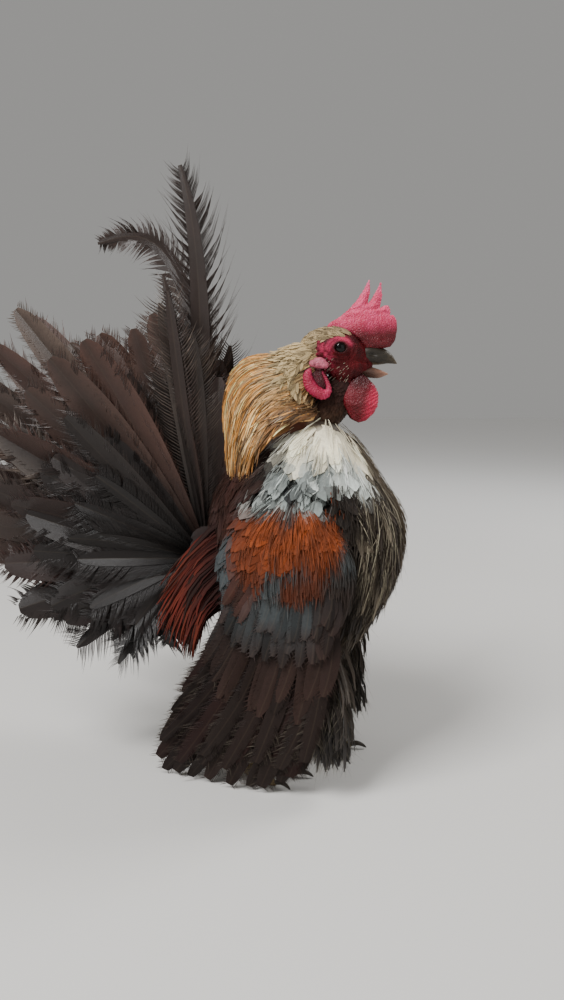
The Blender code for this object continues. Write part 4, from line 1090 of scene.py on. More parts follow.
def make_bristles(roots, heads, material):
    """Short pale hairs of the bare cheek."""
    coat = Coat("cheek_bristles", material, "hackle")
    rng = np.random.default_rng(300)
    pick = rng.choice(len(roots), BRISTLES, replace=False)
    root, out = roots[pick], unit(heads[pick] - roots[pick])
    length = 1.2 + 1.2 * rng.random((BRISTLES, 1, 1))
    s = np.linspace(0, 1, 4)[None, :, None]
    lines = root[:, None] + out[:, None] * (0.9 * s - 0.15) + np.array([-0.8, 0, -0.6]) * length * s
    bake = stack(rng.random(BRISTLES), rng.random(BRISTLES)) * 0.9 + 0.05
    coat.lay(STRAND, lines, np.repeat(out[:, None], 4, 1), np.full(BRISTLES, 0.2),
             with_pattern(CREAM * 0.45, spread=0.4), bake, 301)
    coat.finish()


def make_flesh(bristle_material):
    face = flesh_material("face skin", (0.12, 0.004, 0.010), (0.34, 0.014, 0.028), 0.62, 0.6, 0.02, 0.2)
    comb = flesh_material("comb skin", (0.44, 0.008, 0.036), (0.74, 0.03, 0.10), 0.46, 0.5, 0.03)
    wattle = flesh_material("wattle skin", (0.27, 0.005, 0.018), (0.46, 0.011, 0.044), 0.44, 0.9, 0.03)
    make_bristles(*make_face(face), bristle_material)
    flesh_copy("comb", 0.30, "comb_flesh", comb_shape, comb)
    for side in SIDES:
        end = SIDE_NAMES[side]
        flesh_copy("wattle_" + end, 0.32, "wattle_flesh_" + end, wattle_shape, wattle)
        make_lobe(side, wattle)


def make_eyes():
    """Eyeballs with a raised clear front, a dark iris and a wide pupil."""
    material = eye_material()
    for side in SIDES:
        bm, place, *_ = unit_sphere(48, 32)
        front, ahead = np.hypot(place[:, 0], place[:, 1]), place[:, 2] > 0
        bulge = 1 + 0.05 * (1 - smooth(0.3, 0.7, front)) * ahead
        ball = stack(place[:, 0], side * place[:, 2], place[:, 1]) * (EYE_RADIUS * bulge)[:, None]
        shaped(bm, turned_with_head(ball + np.array([EYE[0], side * EYE[1], EYE[2]])))
        ring = (1 - smooth(IRIS_SHARE, IRIS_SHARE + 0.06, front)) * ahead
        pupil = (1 - smooth(PUPIL_SHARE, PUPIL_SHARE + 0.05, front)) * ahead
        colours = mix(mix((0.006, 0.004, 0.004), (0.022, 0.009, 0.005), ring), (0.002, 0.002, 0.002), pupil)
        end = SIDE_NAMES[side]
        bm_piece("eyeball_" + end, bm, lambda places: colours, material, "eye_" + end)


def grey(values):
    return np.asarray(values)[:, None] * np.ones(3)


def make_beaks():
    """The horny bill, slightly open, with its nostrils, cutting edges and growth layers."""

    def upper_shape(places, t, angle):
        x, y, z = places.T
        for side in SIDES:
            near = np.hypot((x - 90) / 2.2, (z - 203.9) / 0.95) + np.where(np.sign(y) == side, 0, 9)
            places[:, 1] -= side * 1.5 * np.exp(-(near**2))
        places[:, 2] += 0.25 * bell(t, 0.35, 0.1) * (np.cos(angle) > 0)
        edge = bell(np.abs(np.sin(angle)), 1, 0.12) * (np.cos(angle) < 0.3)
        places[:, 2] -= 0.35 * edge * smooth(0.9, 0.3, t)
        return turned_with_head(places)

    def upper_colours(places):
        rim = 1 - smooth(198.8, 200.6, places[:, 2] + 0.12 * (places[:, 0] - 90))
        return grey(0.10 + 0.30 * smooth(94, 103, places[:, 0]) + 0.45 * rim)

    def lower_shape(places, t, angle):
        dip = bell(np.sin(angle), 0, 0.6) * (np.cos(angle) > 0)
        places[:, 2] -= 0.9 * dip * smooth(1.0, 0.6, t)
        return turned_with_head(places)

    def lower_colours(places):
        return grey(0.12 + 0.5 * smooth(88, 98, places[:, 0]))

    upper_horn = horn_material("bill horn", (0.012, 0.009, 0.006), (0.20, 0.15, 0.09))
    lower_horn = horn_material("lower bill horn", (0.05, 0.024, 0.018), (0.40, 0.20, 0.13))
    upper = swept_mesh(Form(UPPER_BEAK_ROWS), 48, 56, upper_shape)
    lower = swept_mesh(Form(LOWER_BEAK_ROWS), 40, 44, lower_shape)
    bm_piece("bill_upper", upper, upper_colours, upper_horn, "beak_upper")
    bm_piece("bill_lower", lower, lower_colours, lower_horn, "beak_lower")


# Legs and feet


def above(bm, height):
    """The bmesh, with whatever lies lower raised to this height."""
    for v in bm.verts:
        v.co.z = max(v.co.z, height)
    return bm


def leg_colour(places):
    return mix(LEG_SHADE, LEG_YELLOW, smooth(0.5, 3.0, places[:, 2]))


def make_leg(side, scutes, horn):
    """A scaled shank with its spur, and four toes with curved claws."""
    end = SIDE_NAMES[side]

    def shank_shape(places, t, angle):
        front = smooth(0.1, -0.5, np.cos(angle))
        plates = 1 - np.abs(np.sin(math.pi * t * 17))
        middle = SHANK[side].point(t, angle * 0)
        middle[:, 0] = spline(SHANK[side].rows, t)[:, 0]
        return places - unit(places - middle) * (0.45 * plates**3 * (0.35 + 0.65 * front))[:, None]

    x, y = ANKLE_X - 3 + stance(side, 20), side * FOOT_Y
    spur = [(x, y, 20), (x - 4, y - side * 2.4, 20.4), (x - 7, y - side * 4.4, 22)]
    shank = joined([swept_mesh(SHANK[side], 32, 90, shank_shape), tube_mesh(spur, [1.9, 1.5, 0.5], 16, 16)])
    bm_piece("scaled_shank_" + end, shank, leg_colour, scutes, "shank_" + end)
    toes = {toe: np.array([(ANKLE_X + STEP[side] + x, side * (FOOT_Y + y), z) for x, y, z in points], float)
            for toe, points in TOES.items()}
    foot = joined([tube_mesh(points, TOE_RADII, 18, 60, 0.35, 11) for points in toes.values()])
    bm_piece("scaled_foot_" + end, above(foot, 0.0), leg_colour, scutes, "foot_" + end)
    for toe, points in toes.items():
        ahead = unit((points[-1] - points[-2]) * (1, 1, 0))
        path = [points[-1] + ahead * step + np.array([0, 0, rise]) for step, rise in CLAW_CURVE]
        claw = above(tube_mesh(path, CLAW_RADII, 16, 24), 0.02)
        bm_piece(f"curved_claw_{toe}_{end}", claw, lambda p: np.full((len(p), 3), 0.2), horn,
                 f"claw_{toe}_{end}")


# The tail


def tail_direction(angle, splay, side):
    a, s = np.radians(angle), np.radians(splay)
    return stack(np.cos(a) * np.cos(s), side * np.sin(s), np.sin(a) * np.cos(s))


def tail_colour(seen, t, reach, draw, barb):
    """Black by the body and brown with a maroon cast outside it, grey on the outer vanes as a painted sheen,
    uneven by barb.
    """
    outer = np.hypot(seen[..., 0] - TAIL_ROOT[0], seen[..., 2] - TAIL_ROOT[1])
    streak = 0.5 + 0.5 * np.sin(barb * BARB_TURN + draw * 40)
    clump = 0.5 + 0.5 * np.sin(barb * 0.37 + draw * 23)
    # painted sheen: grey highlights on the outer vanes of some feathers
    painted_sheen = smooth(0.35, 0.95, np.abs(reach)) * smooth(0.25, 0.8, t) * smooth(0.5, 0.1, draw) * clump
    colour = layered(
        TAIL_BLACK,
        (TAIL_BROWN, smooth(45, 95, outer) * (0.3 + 0.7 * smooth(0.1, 0.9, draw))),
        (OXBLOOD * 0.8, 0.25 * smooth(0.55, 0.9, draw)),
        (TAIL_GREY, 0.7 * painted_sheen * smooth(55, 85, outer)),
        (TAIL_GREY * 0.4, 0.5 * smooth(60, 95, outer) * (np.mod(draw * 11, 1) > 0.75)),
    )
    colour = colour * (0.6 + 0.75 * streak * smooth(0.2, 0.7, np.abs(reach)))[..., None]
    # painted shade: darker at each feather's root, where others cover it, and close to the body
    return colour * ((0.3 + 0.7 * smooth(0.05, 0.55, t)) * (0.5 + 0.5 * smooth(30, 90, outer)))[..., None]


def tail_lines(side, angles, lengths, splays, root_y, rng, sag):
    """The shafts of one tier of the fan, and the way their faces look."""
    s = np.linspace(0, 1, 13)
    direction = tail_direction(angles, splays, side)[:, None]
    bend = tail_direction(angles + 90, splays * 0, side)[:, None]
    root = stack(TAIL_ROOT[0], side * root_y, TAIL_ROOT[1])[:, None]
    start, end = root + direction * 2, root + direction * lengths[:, None, None]
    lines = start + (end - start) * s[:, None] + bend * (sag[:, None, None] * (s * s)[:, None])
    lines[..., 1] += side * 2.5 * np.sin(math.pi * s)
    ups = np.zeros_like(lines) + np.array([0, side, 0]) + bend * rng.normal(0, 0.48, (len(angles), 1, 1))
    return lines, unit(ups + direction * rng.normal(0, 0.1, (len(angles), 1, 1)))


def make_tail(side, material):
    """Half of the tail: fan feathers, tiers of coverts with hair-like ends, and a sickle."""
    rng = np.random.default_rng(40 + side)
    coat = Coat("tail_plumes_" + SIDE_NAMES[side], material, "tail", "tail_" + SIDE_NAMES[side])
    fan = dict(outline=broad(0.3, 0.66, 0.2), thick=0.35, camber=0.12, slant=0.9, blade=0.42, rachis=0.6,
               ragged=0.13, clump=0.4, droop=1.6, fray=(0.35, 0.9), patch=LARGE_PATCH)
    full = Plume(**fan).sheet(2, 12, 0.78, start=0.05).shaft().fringe(96, first=0.2, last=0.995, inner=0.5)
    short = Plume(**fan).sheet(2, 9, 0.70, start=0.04).shaft(5).fringe(70, last=0.995, inner=0.4)
    hairy = Plume(**fan).sheet(2, 8, 0.30, start=0.04).shaft(5).fringe(66, last=0.995, inner=0.2)
    plumes = (full, full, short, hairy, short, hairy)
    for tier, (count, angles, lengths, width, splay, root_y) in enumerate(TAIL_TIERS):
        share = np.linspace(0, 1, count)
        angle = angles[0] + (angles[1] - angles[0]) * share + rng.normal(0, 2.6, count)
        length = row_value(lengths, share) * (1 + rng.normal(0, 0.045, count))
        place = root_y + 1.1 * (np.arange(count) % 2) + rng.normal(0, 0.3, count)
        sag = 5 + rng.normal(0, 4.5, count)
        splays = splay[0] + (splay[1] - splay[0]) * share
        lines, ups = tail_lines(side, angle, length, splays, place, rng, sag)
        bake = stack(0.08 + 0.14 * tier + 0.07 * (side > 0), 0.1 + 0.8 * share)
        for plume, chosen in ((plumes[tier], angle <= 196), (hairy, angle > 196)):
            if chosen.any():
                widths = width * (1 + rng.normal(0, 0.1, chosen.sum()))
                coat.lay(plume, lines[chosen], ups[chosen], widths, tail_colour, bake[chosen], 50 + tier)
    points, width = SICKLES[side]
    line = bezier(points, np.linspace(0, 1, 25))[None]
    sickle = Plume(pointed(0.8, 0.05, 0.6), 0.4, camber=0.06, slant=1.35, blade=0.3, rachis=0.5, clump=0.9,
                   clump_size=9, droop=2.6, ragged=0.2, patch=LARGE_PATCH)
    sickle.sheet(2, 20, 0.3, crowd=1.1).shaft(12).fringe(290, first=0.03, inner=0.2)
    coat.lay(sickle, line, np.zeros_like(line) + np.array([0, side, 0]), [width],
             lambda *given: tail_colour(*given) * 0.55, [[0.95, 0.5]], 60)
    coat.finish()


def saddle_colour(seen, t, reach, draw, barb):
    colour = mix(OXBLOOD * 0.6, MAHOGANY, smooth(0.35, 1.0, t) * smooth(0.1, 0.8, draw))
    colour = mix(colour, DEEP_RUST, 0.6 * smooth(0.7, 1.0, draw) * smooth(0.4, 0.9, t))
    return colour * (0.4 + 0.6 * draw)[..., None]


def make_saddle(material):
    """Mahogany lances that hang from the small of the back over the root of the tail."""
    coat = Coat("saddle_plumes", material, "tail")
    lance = Plume(pointed(), 0.25, camber=0.15).sheet(1, 5)
    count = 420
    for side in SIDES:
        rng = np.random.default_rng(70 + side)
        share, depth = rng.random(count), rng.random(count)
        root, bend, tip = (spline(rows, share) for rows in (SADDLE_ROOTS, SADDLE_BENDS, SADDLE_TIPS))
        shorten = 0.55 + 0.5 * rng.random(count)[:, None]
        control = [root + np.array([5, -5, -1]), root + (bend - root) * (0.6 + 0.4 * shorten),
                   root + (tip - root) * shorten]
        control = [stack(x, side * (y + 4 * depth - 2), z + 5 * rng.normal(0, 0.5, count))
                   for x, y, z in (c.T for c in control)]
        lines = bent_lines(*control, 9)
        ups = np.zeros_like(lines) + np.array([-0.3, side, 0.2]) + rng.normal(0, 0.2, (count, 1, 3))
        bake = stack(0.1 + 0.3 * share + 0.45 * (side > 0), 0.1 + 0.8 * depth)
        coat.lay(lance, lines, unit(ups), 1.5 + 1.9 * rng.random(count), saddle_colour, bake, 80 + side)
    coat.finish()


# The wings


def wing_place(side, x, z, layer):
    """A place on the hanging wing's outer sheet. layer counts millimetres out from its flight feathers."""
    half = row_value(WING_SHEET, (SHOULDER_Z - z) / SHOULDER_Z)
    return stack(x, side * (half + 1.2 - (x - 58) ** 2 / 430 + layer), z)


def wing_lines(side, roots, tips, layer, bow, rise=0.0):
    """Lines on the wing's sheet from roots to tips (x, z), bowed backwards, rising outwards by rise."""
    s = np.linspace(0, 1, 11)
    step = tips - roots
    back = unit(stack(step[:, 1], -step[:, 0]))
    back = np.where(back[:, :1] > 0, -back, back)
    bent = back[:, None] * (column(bow) * np.sin(math.pi * s))[..., None]
    flat = roots[:, None] + step[:, None] * s[:, None] - bent
    return wing_place(side, flat[..., 0], flat[..., 1], column(layer) + rise * s - 2.5 * (1 - s) ** 3)


def side_ups(lines, side, rng, lean, spread):
    """Faces that look out to the side, leaning so that each feather overlaps the next."""
    number = len(lines)
    ups = stack(lean + rng.normal(0, spread, number), side, rng.normal(0.1, spread, number))
    return np.repeat(unit(ups)[:, None], lines.shape[1], 1)


def wing_bow_share(x, z):
    """1 where the wing is rust orange: the bow, and the patch under a slate gap."""
    edge = 2.2 * np.sin(x * 0.45) + 1.6 * np.sin(z * 0.6 + x * 0.2)
    floor = 106 - 12 * smooth(52, 40, x)
    bow = smooth(floor - 3, floor + 3, z + edge) * (1 - smooth(130, 136, z + edge)) * smooth(30, 37, x)
    bow = bow * (1 - smooth(79, 84, x + 0.5 * edge))
    patch = inside(x + 0.4 * edge, 56, 75, 2.5) * inside(z, 92, 107, 2.5)
    gap = np.exp(-(((x - 60) / 7) ** 2 + ((z - 106) / 2.6) ** 2))
    return np.clip(np.maximum(bow, patch) - 1.1 * gap, 0, 1)


def wing_colour(place):
    """The marking of the wing: rust bow, slate coverts, brown flights and a grizzled shoulder, with painted
    shade in the hollow in front of the shoulder.
    """
    x, y, z = np.moveaxis(np.asarray(place, float), -1, 0)
    blotch = 0.5 + 0.5 * np.sin(x * 0.33 + 1.9 * np.sin(z * 0.23))
    warm = smooth(98, 124, z) * smooth(32, 50, x) * (0.45 + 0.55 * blotch)
    return layered(
        SLATE,
        (FLIGHT_BROWN * 0.8, 1 - smooth(70, 88, z)),
        (FLIGHT_BROWN * 0.7, smooth(66, 76, x) * smooth(112, 98, z) * 0.85),
        (mix(DEEP_RUST, RUST, warm), wing_bow_share(x, z)),
        (grizzled_grey(x, y, z), smooth(131, 137, z)),
        # painted shade in the hollow in front of the shoulder
        (SOOT * 0.6, shoulder_shadow(x, z)),
    )


def flight_colour(seen, t, reach, draw, barb):
    streak = 0.5 + 0.5 * np.sin(barb * BARB_TURN + draw * 40)
    # painted sheen: paler taupe on the outer vanes towards the tips
    painted_sheen = smooth(0.6, 1.0, np.abs(reach)) * smooth(0.4, 0.9, t) * streak
    colour = mix(mix(FLIGHT_BROWN * 0.5, TAIL_BLACK * 0.45, draw), TAUPE * 0.8, 0.4 * painted_sheen)
    colour = mix(colour, OXBLOOD, 0.25 * smooth(0.6, 1.0, draw))
    # painted shade: darker towards each feather's root, where the feathers overlap
    return colour * (0.55 + 0.45 * smooth(0.1, 0.6, t))[..., None]


def slate_colour(seen, t, reach, draw, barb):
    rim = smooth(0.6, 1.0, np.abs(reach)) * smooth(0.2, 0.6, t)
    colour = mix(wing_colour(seen), FLIGHT_BROWN * 0.8, 0.85 * rim)
    colour = mix(colour, FLIGHT_BROWN, 0.6 * smooth(0.75, 1.0, t))
    # painted shade: darker towards each covert's root, where the row above covers it; brightness also varies
    # at random
    return colour * (0.35 + 0.75 * draw)[..., None] * (0.45 + 0.55 * smooth(0.3, 0.7, t))[..., None]


def make_wing(side, material):
    """A hanging wing: frayed flight feathers, slate coverts, the rust bow and the speckled shoulder."""
    rng = np.random.default_rng(90 + side)
    coat = Coat("wing_plumes_" + SIDE_NAMES[side], material, "wing", "wing_" + SIDE_NAMES[side])
    flight = Plume(broad(0.5, 0.55, 0.4), 0.35, slant=0.9, blade=0.34, rachis=0.3, ragged=0.16, droop=1.8,
                   fray=(0.1, 0.7), patch=LARGE_PATCH).sheet(2, 10, 0.66, start=0.03).shaft(5)
    flight.fringe(70, last=0.995, inner=0.35)
    for tier, (count, layer, spread) in enumerate(((15, -0.8, 1.2), (20, 1.4, 4.0))):
        share = np.linspace(0, 1, count)
        roots, tips = spline(SECONDARY_ROOTS, share), spline(FLIGHT_TIPS, share)
        tips = tips + rng.normal(0, spread, tips.shape) + (roots - tips) * 0.14 * tier
        tips[:, 1] = np.maximum(tips[:, 1], 2.5)
        height = layer + 1.2 * (np.arange(count) % 2)
        lines = wing_lines(side, roots, tips, height, 3 + rng.normal(0, 1.2, count))
        ups, widths = side_ups(lines, side, rng, 0.22, 0.16), 14 - 2 * tier + rng.normal(0, 1, count)
        bake = stack(0.1 + 0.8 * share, 0.9 - 0.06 * tier)
        coat.lay(flight, lines, ups, widths, flight_colour, bake, 100 + side + 4 * tier)
    covert = Plume(broad(0.5, 0.6, 0.25), 0.3, camber=0.14, slant=0.95, blade=0.55, ragged=0.1, clump=0.7,
                   droop=0.9, fray=(0.3, 0.8), patch=0.006)
    covert.sheet(2, 6, 0.68).fringe(16, first=0.2, inner=0.35, cuts=1)
    for tier, (count, row_roots, row_tips, layer, width, shorter) in enumerate((
            (17, GREATER_ROOTS, GREATER_TIPS, 2.4, 10.5, 0), (19, MEDIAN_ROOTS, MEDIAN_TIPS, 4.0, 9.0, 0),
            (15, MEDIAN_ROOTS, MEDIAN_TIPS, 4.8, 8.0, 0.28))):
        share = np.linspace(0, 1, count)
        roots, tips = spline(row_roots, share), spline(row_tips, share) + rng.normal(0, 2.4, (count, 2))
        lines = wing_lines(side, roots, tips + (roots - tips) * shorter, layer, 2.5, 0.8)
        coat.lay(covert, lines, side_ups(lines, side, rng, 0.2, 0.2), width + rng.normal(0, 0.9, count),
                 slate_colour, stack(0.1 + 0.8 * share, 0.78 - 0.07 * tier), 110 + 2 * tier + side)
    arm = WING_ARM[side]
    silk = Plume(broad(0.6, 0.5, 0.12), camber=0.08, slant=1.3, blade=0.16, ragged=0.3, clump=0.8, droop=0.2)
    silk.sheet(2, 3, 0.85).fringe(3, first=0.5, last=0.97, inner=0.65, cuts=1)
    for rows, per_row, first, last, length, width, lift in (
            (9, 15, 0.62, 0.02, 17, 10, 1.8), (15, 20, 0.62, 0.03, 15, 9.0, 2.6)):
        row, place = staggered(rows, per_row, 120 + rows + side, 0.5)
        t, number = first + (last - first) * row, len(row)
        angle = side * (math.radians(12) + math.radians(160) * place)
        coat.grow(silk, arm, t, angle, length / WING_SPAN * (1 + rng.normal(0, 0.16, number)),
                  side * rng.normal(-0.10, 0.12, number), -0.8, lift + 0.5 * rng.random(number),
                  back=3.0 + rng.normal(0, 1.2, number), tilt=rng.normal(0, 0.02, (number, 1, 3)),
                  widths=width * (1 + rng.normal(0, 0.15, number)),
                  colour_of=with_pattern(wing_colour, 0.0, 0.05, 0.16, 0.85),
                  seed=130 + rows + side, power=0.6, bake=form_bake(t * 0.6, angle * side))
    coat.strands(arm, WING_SPAN, t, angle, rng, 1300, (0.02, 0.09), 9, 3.4,
                 with_pattern(wing_colour, 0.0, 0.0, 0.34, 0.95), 156 + 4 * side, 0.15)
    lesser = Plume(broad(0.6, 0.5, 0.15), camber=0.12, slant=1.4, blade=0.18, ragged=0.2, droop=0.4)
    lesser.sheet(2, 3, 0.8).fringe(2, first=0.6, last=0.96, inner=0.5, cuts=1)
    row, place = staggered(11, 26, 140 + side, 0.5)
    t, number = 0.17 - 0.17 * row, len(row)
    angle = side * (math.radians(5) + math.radians(170) * place)
    coat.grow(lesser, arm, t, angle, 0.11 + 0.04 * rng.random(number), rng.normal(0, 0.1, number), 0.2,
              2.4 + 0.6 * rng.random(number), widths=5.6 * (1 + rng.normal(0, 0.2, number)),
              colour_of=with_pattern(wing_colour, 0.0, 0.1, 0.26, 0.9), seed=150 + side,
              bake=form_bake(t, angle * side))
    coat.finish()


# The coat of neck, head, trunk and legs


def hackle_colour(seen, t, reach, draw, barb):
    """Olive and straw by the head, gold on the nape, brown below, mahogany at the ends, with pale streaks."""
    x, y, z = np.moveaxis(seen, -1, 0)
    rank = z - 0.5 * (x - 45)
    upper = smooth(172, 192, rank) * smooth(36, 56, x)
    across = 0.85 * x - 0.5 * z
    band = 0.5 + 0.5 * np.sin(1.3 * across + 2 * np.sin(0.37 * across) + 0.3 * y)
    gold = mix(GOLD, STRAW, 0.8 * smooth(0.3, 0.9, 0.5 * np.mod(draw * 7, 1) + 0.5 * band))
    brown = smooth(36, 50, x + 0.45 * (170 - z)) * (1 - smooth(176, 190, z))
    colour = layered(
        mix(COPPER, gold, smooth(142, 166, rank)),
        (STRAW, 0.7 * upper),
        (HACKLE_BROWN, 0.9 * brown * (np.mod(draw * 5, 1) > 0.2)),
        (CROWN_OLIVE, 0.85 * upper * (draw > 0.35)),
        (STREAK_PALE * 0.7, 0.6 * smooth(156, 172, z) * (draw < 0.07)),
        (STREAK_DARK, 0.8 * (np.abs(draw - 0.30) < 0.06 + 0.12 * (1 - band))),
        (MAHOGANY * 0.6, 0.8 * smooth(158, 142, z) * (draw > 0.3)),
        (STREAK_DARK, 0.3 * bell(reach, 0, 0.30) * smooth(0.15, 0.4, t) * (0.4 + 0.6 * draw)),
    )
    shade = (0.6 + 0.9 * np.mod(draw * 17, 1)) * (0.75 + 0.4 * band) * (0.8 + 0.4 * smooth(150, 178, z))
    return colour * ((0.55 + 0.45 * smooth(0, 0.45, t)) * shade)[..., None]


def make_hackles(material):
    """Silky lances of the neck, in a wide under layer and a fine, looser upper one."""
    coat = Coat("hackle_plumes", material, "hackle")
    lance = Plume(pointed(), 0.2, camber=0.2).sheet(1, 6)
    s = np.linspace(0, 1, 9)
    for layer, (rows, per_row, width, lift) in enumerate(((18, 34, 4.2, 0.4), (40, 60, 1.5, 1.5))):
        rng = np.random.default_rng(200 + layer)
        row, place = staggered(rows, per_row, 203 + layer, 0.6)
        angle, start = 2.8 * (2 * place - 1), 0.01 + 0.66 * row
        last = 0.62 + 0.37 * smooth(2.5, 1.2, np.abs(angle)) + rng.normal(0, 0.012, len(row))
        end = np.minimum(start + 0.26 + 0.10 * rng.random(len(row)), last)
        kept = end - start > 0.09
        angle, start, end = angle[kept], start[kept], end[kept]
        number = len(start)
        tt = start[:, None] + (end - start)[:, None] * s
        sweep = 0.25 + rng.normal(0, 0.07, (number, 1))
        aa = angle[:, None] * (1 - sweep * s * smooth(0.2, 1.2, np.abs(angle))[:, None])
        aa = aa + rng.normal(0, 0.05, (number, 1)) * s
        inner, outer = NECK.point(tt, aa), CAPE.point(tt, aa)
        out = unit(outer - inner)
        rise = (lift + 1.3 * rng.random((number, 1))) * s**1.3 + 0.6 * layer * np.sin(math.pi * s) ** 2
        share = (np.minimum(1, 2.2 * s) ** 0.8)[:, None]
        lines = inner + (outer - inner) * share + out * (rise - (1 - s) ** 4)[..., None]
        ups = unit(out + 0.25 * NECK.normal(tt, aa) + rng.normal(0, 0.14, (number, 1, 3)))
        coat.lay(lance, lines, ups, width * (0.7 + 0.6 * rng.random(number)), hackle_colour,
                 form_bake(start, angle), 210 + layer)
    coat.finish()


def crown_colour(seen, t, reach, draw, barb):
    return layered(
        CROWN_OLIVE,
        (CROWN_TAN, 0.1 + 0.7 * draw),
        (STRAW, 0.4 * smooth(64, 56, seen[..., 0])),
        (STREAK_DARK, 0.55 * (np.mod(draw * 9, 1) < 0.2)),
        (STREAK_DARK, 0.5 * bell(reach, 0, 0.35) * smooth(0.1, 0.5, t)),
    )


def throat_colour(seen, t, reach, draw, barb):
    return mix(THROAT_RED, THROAT_BROWN, smooth(186, 172, seen[..., 2])) * (0.6 + 0.6 * draw)[..., None]


def make_crown(material):
    """Tiny feathers of the head, along the crown, behind the eye and down the nape and throat."""
    coat = Coat("crown_plumes", material, "hackle")
    rng = np.random.default_rng(220)
    row, place = staggered(50, 66, 221, 0.7)

    def beside_skin(x, y, z):
        bare = smooth(62.5, 66.5, x) * (1 - smooth(210.5, 213.0, z + 0.05 * (74 - x)))
        comb_room = inside(x, 72, 95, 1.0) * (np.abs(y) < 3.2) * (z > 205)
        return (bare + comb_room < 0.5) & (z > 194)

    def behind_ear(x, y, z):
        lobe = np.hypot((x - 66) / 9, (z - 193) / 11) < 1
        return (x > 50 + 0.35 * (204 - z) + rng.normal(0, 2.2, len(x))) & (np.abs(y) > 4) & ~lobe

    t, angle, _ = kept_roots(Form(SKULL_ROWS), 0.62 - 0.60 * row, 2 * math.pi * place, beside_skin)
    number = len(t)
    scale = Plume(broad(0.6, 0.5, 0.1), 0.14, camber=0.2).sheet(1, 3)
    reach = -(0.085 + 0.05 * rng.random(number))
    coat.grow(scale, SKULL, t, angle, reach, 0.1 * rng.normal(0, 1, number), -0.2,
              0.4 + 0.6 * rng.random(number), widths=1.3 + 0.6 * rng.random(number), colour_of=crown_colour,
              seed=222, stations=5)
    row, place = staggered(20, 76, 225, 0.8)
    t, angle, _ = kept_roots(CAPE, 0.02 + 0.30 * row, 2 * math.pi * place, behind_ear)
    number = len(t)
    scale = Plume(broad(0.5, 0.5, 0.08), 0.14, camber=0.2).sheet(1, 3)
    reach = (6 + 4 * rng.random(number)) / CAPE_SPAN
    coat.grow(scale, CAPE, t, angle, reach, rng.normal(0, 0.12, number), 0.5, 1.5 + 0.9 * rng.random(number),
              widths=1.2 + 0.7 * rng.random(number), colour_of=crown_colour, seed=226, stations=5)
    row, place = staggered(20, 26, 223, 0.45)
    scale = Plume(broad(0.6, 0.5, 0.1), 0.16, camber=0.2).sheet(1, 3)
    coat.grow(scale, THROAT, 0.30 + 0.66 * row, 2 * math.pi * place, 0.16, 0, -0.1, 0.9,
              widths=2.2 + 0.8 * rng.random(len(row)), colour_of=throat_colour, seed=224, stations=5)
    coat.finish()


def make_breast(material, rng):
    """Round feathers of breast and back under loose hair."""
    coat = Coat("breast_plumes", material, "breast")
    row, place = staggered(34, lambda r: int(16 + 40 * min(1, 3.5 * (1 - r)) ** 0.8), 241, 0.7)

    def uncovered(x, y, z):
        under_wing = (np.abs(y) > 31) & (z < 120) & (x > 36) & (x < 82)
        tail_root = (np.hypot(x - 12, z - 106) < 16) & (np.abs(y) < 14)
        return ~(under_wing | tail_root)

    t, angle, (x, y, z) = kept_roots(TORSO, 0.90 - 0.89 * row, 2 * math.pi * place, uncovered)
    number = len(t)
    shoulder = inside(x, 34, 84, 4) * smooth(112, 124, z) * smooth(24, 30, np.abs(y))
    fine = 1 - 0.4 * shoulder * (z > 124)
    length = (13 + 5 * smooth(150, 90, z)) * (1 + rng.normal(0, 0.15, number)) * fine
    petal = Plume(broad(0.5, 0.55, 0.12), camber=0.12, slant=1.3, blade=0.16, ragged=0.3, clump=0.9,
                  droop=0.3)
    petal.sheet(2, 3, 0.82).fringe(3, first=0.5, last=0.97, inner=0.6, cuts=1)
    coat.grow(petal, TORSO, t, angle, length / TORSO_SPAN, rng.normal(0.0, 0.09, number), -0.8,
              1.6 + 0.7 * rng.random(number) + 3.4 * shoulder, hang=rng.random(number),
              tilt=rng.normal(0, 0.03, (number, 1, 3)), widths=(8.0 + 3.0 * rng.random(number)) * fine,
              colour_of=with_pattern(petal_colour, 0.0, 0.08, 0.2, 0.9), seed=242, power=0.6)
    coat.strands(TORSO, TORSO_SPAN, t, angle, rng, 3600, (0.012, 0.05), 8 - 4.5 * shoulder * (z > 124),
                 2.6 + 3.2 * shoulder, with_pattern(body_colour, 0.0, 0.0, 0.45, 0.95), 246, 0.16)
    coat.finish()


def make_breast_fringe(material, rng):
    """Loose, frayed feathers that hang at the front of the breast."""
    coat = Coat("breast_fringe_plumes", material, "breast")
    row, place = staggered(26, 66, 243, 0.6)

    def low_front(x, y, z):
        return (smooth(150, 118, z) > rng.random(len(x)) * 0.9) & (x > 70)

    t, angle, (x, y, z) = kept_roots(TORSO, 0.97 - 0.86 * row, math.pi + 2.35 * (2 * place - 1), low_front)
    number = len(t)
    length = (16 + 8 * smooth(130, 80, z)) * (1 + rng.normal(0, 0.15, number))
    loose = Plume(broad(0.45, 0.5, 0.2), 0.2, camber=0.2, slant=1.6, blade=0.22, ragged=0.25, clump=0.6,
                  droop=2.0)
    loose.sheet(1, 3, 0.35).fringe(6, first=0.2, last=0.97, inner=0.12, cuts=1)
    coat.grow(loose, TORSO, t, angle, length / TORSO_SPAN, rng.normal(0, 0.06, number), 0.2,
              3.4 + 2.6 * rng.random(number), hang=1.5 + 3 * rng.random(number),
              widths=7.0 + 3.0 * rng.random(number), colour_of=with_pattern(petal_colour, 0.1, 0.6, 0.45),
              seed=244)
    coat.strands(TORSO, TORSO_SPAN, t, angle, rng, 2200, (0.02, 0.05), 17, 5.2,
                 with_pattern(body_colour, 0.0, 0.0, 0.45, 0.9), 248, 0.12)
    coat.finish()


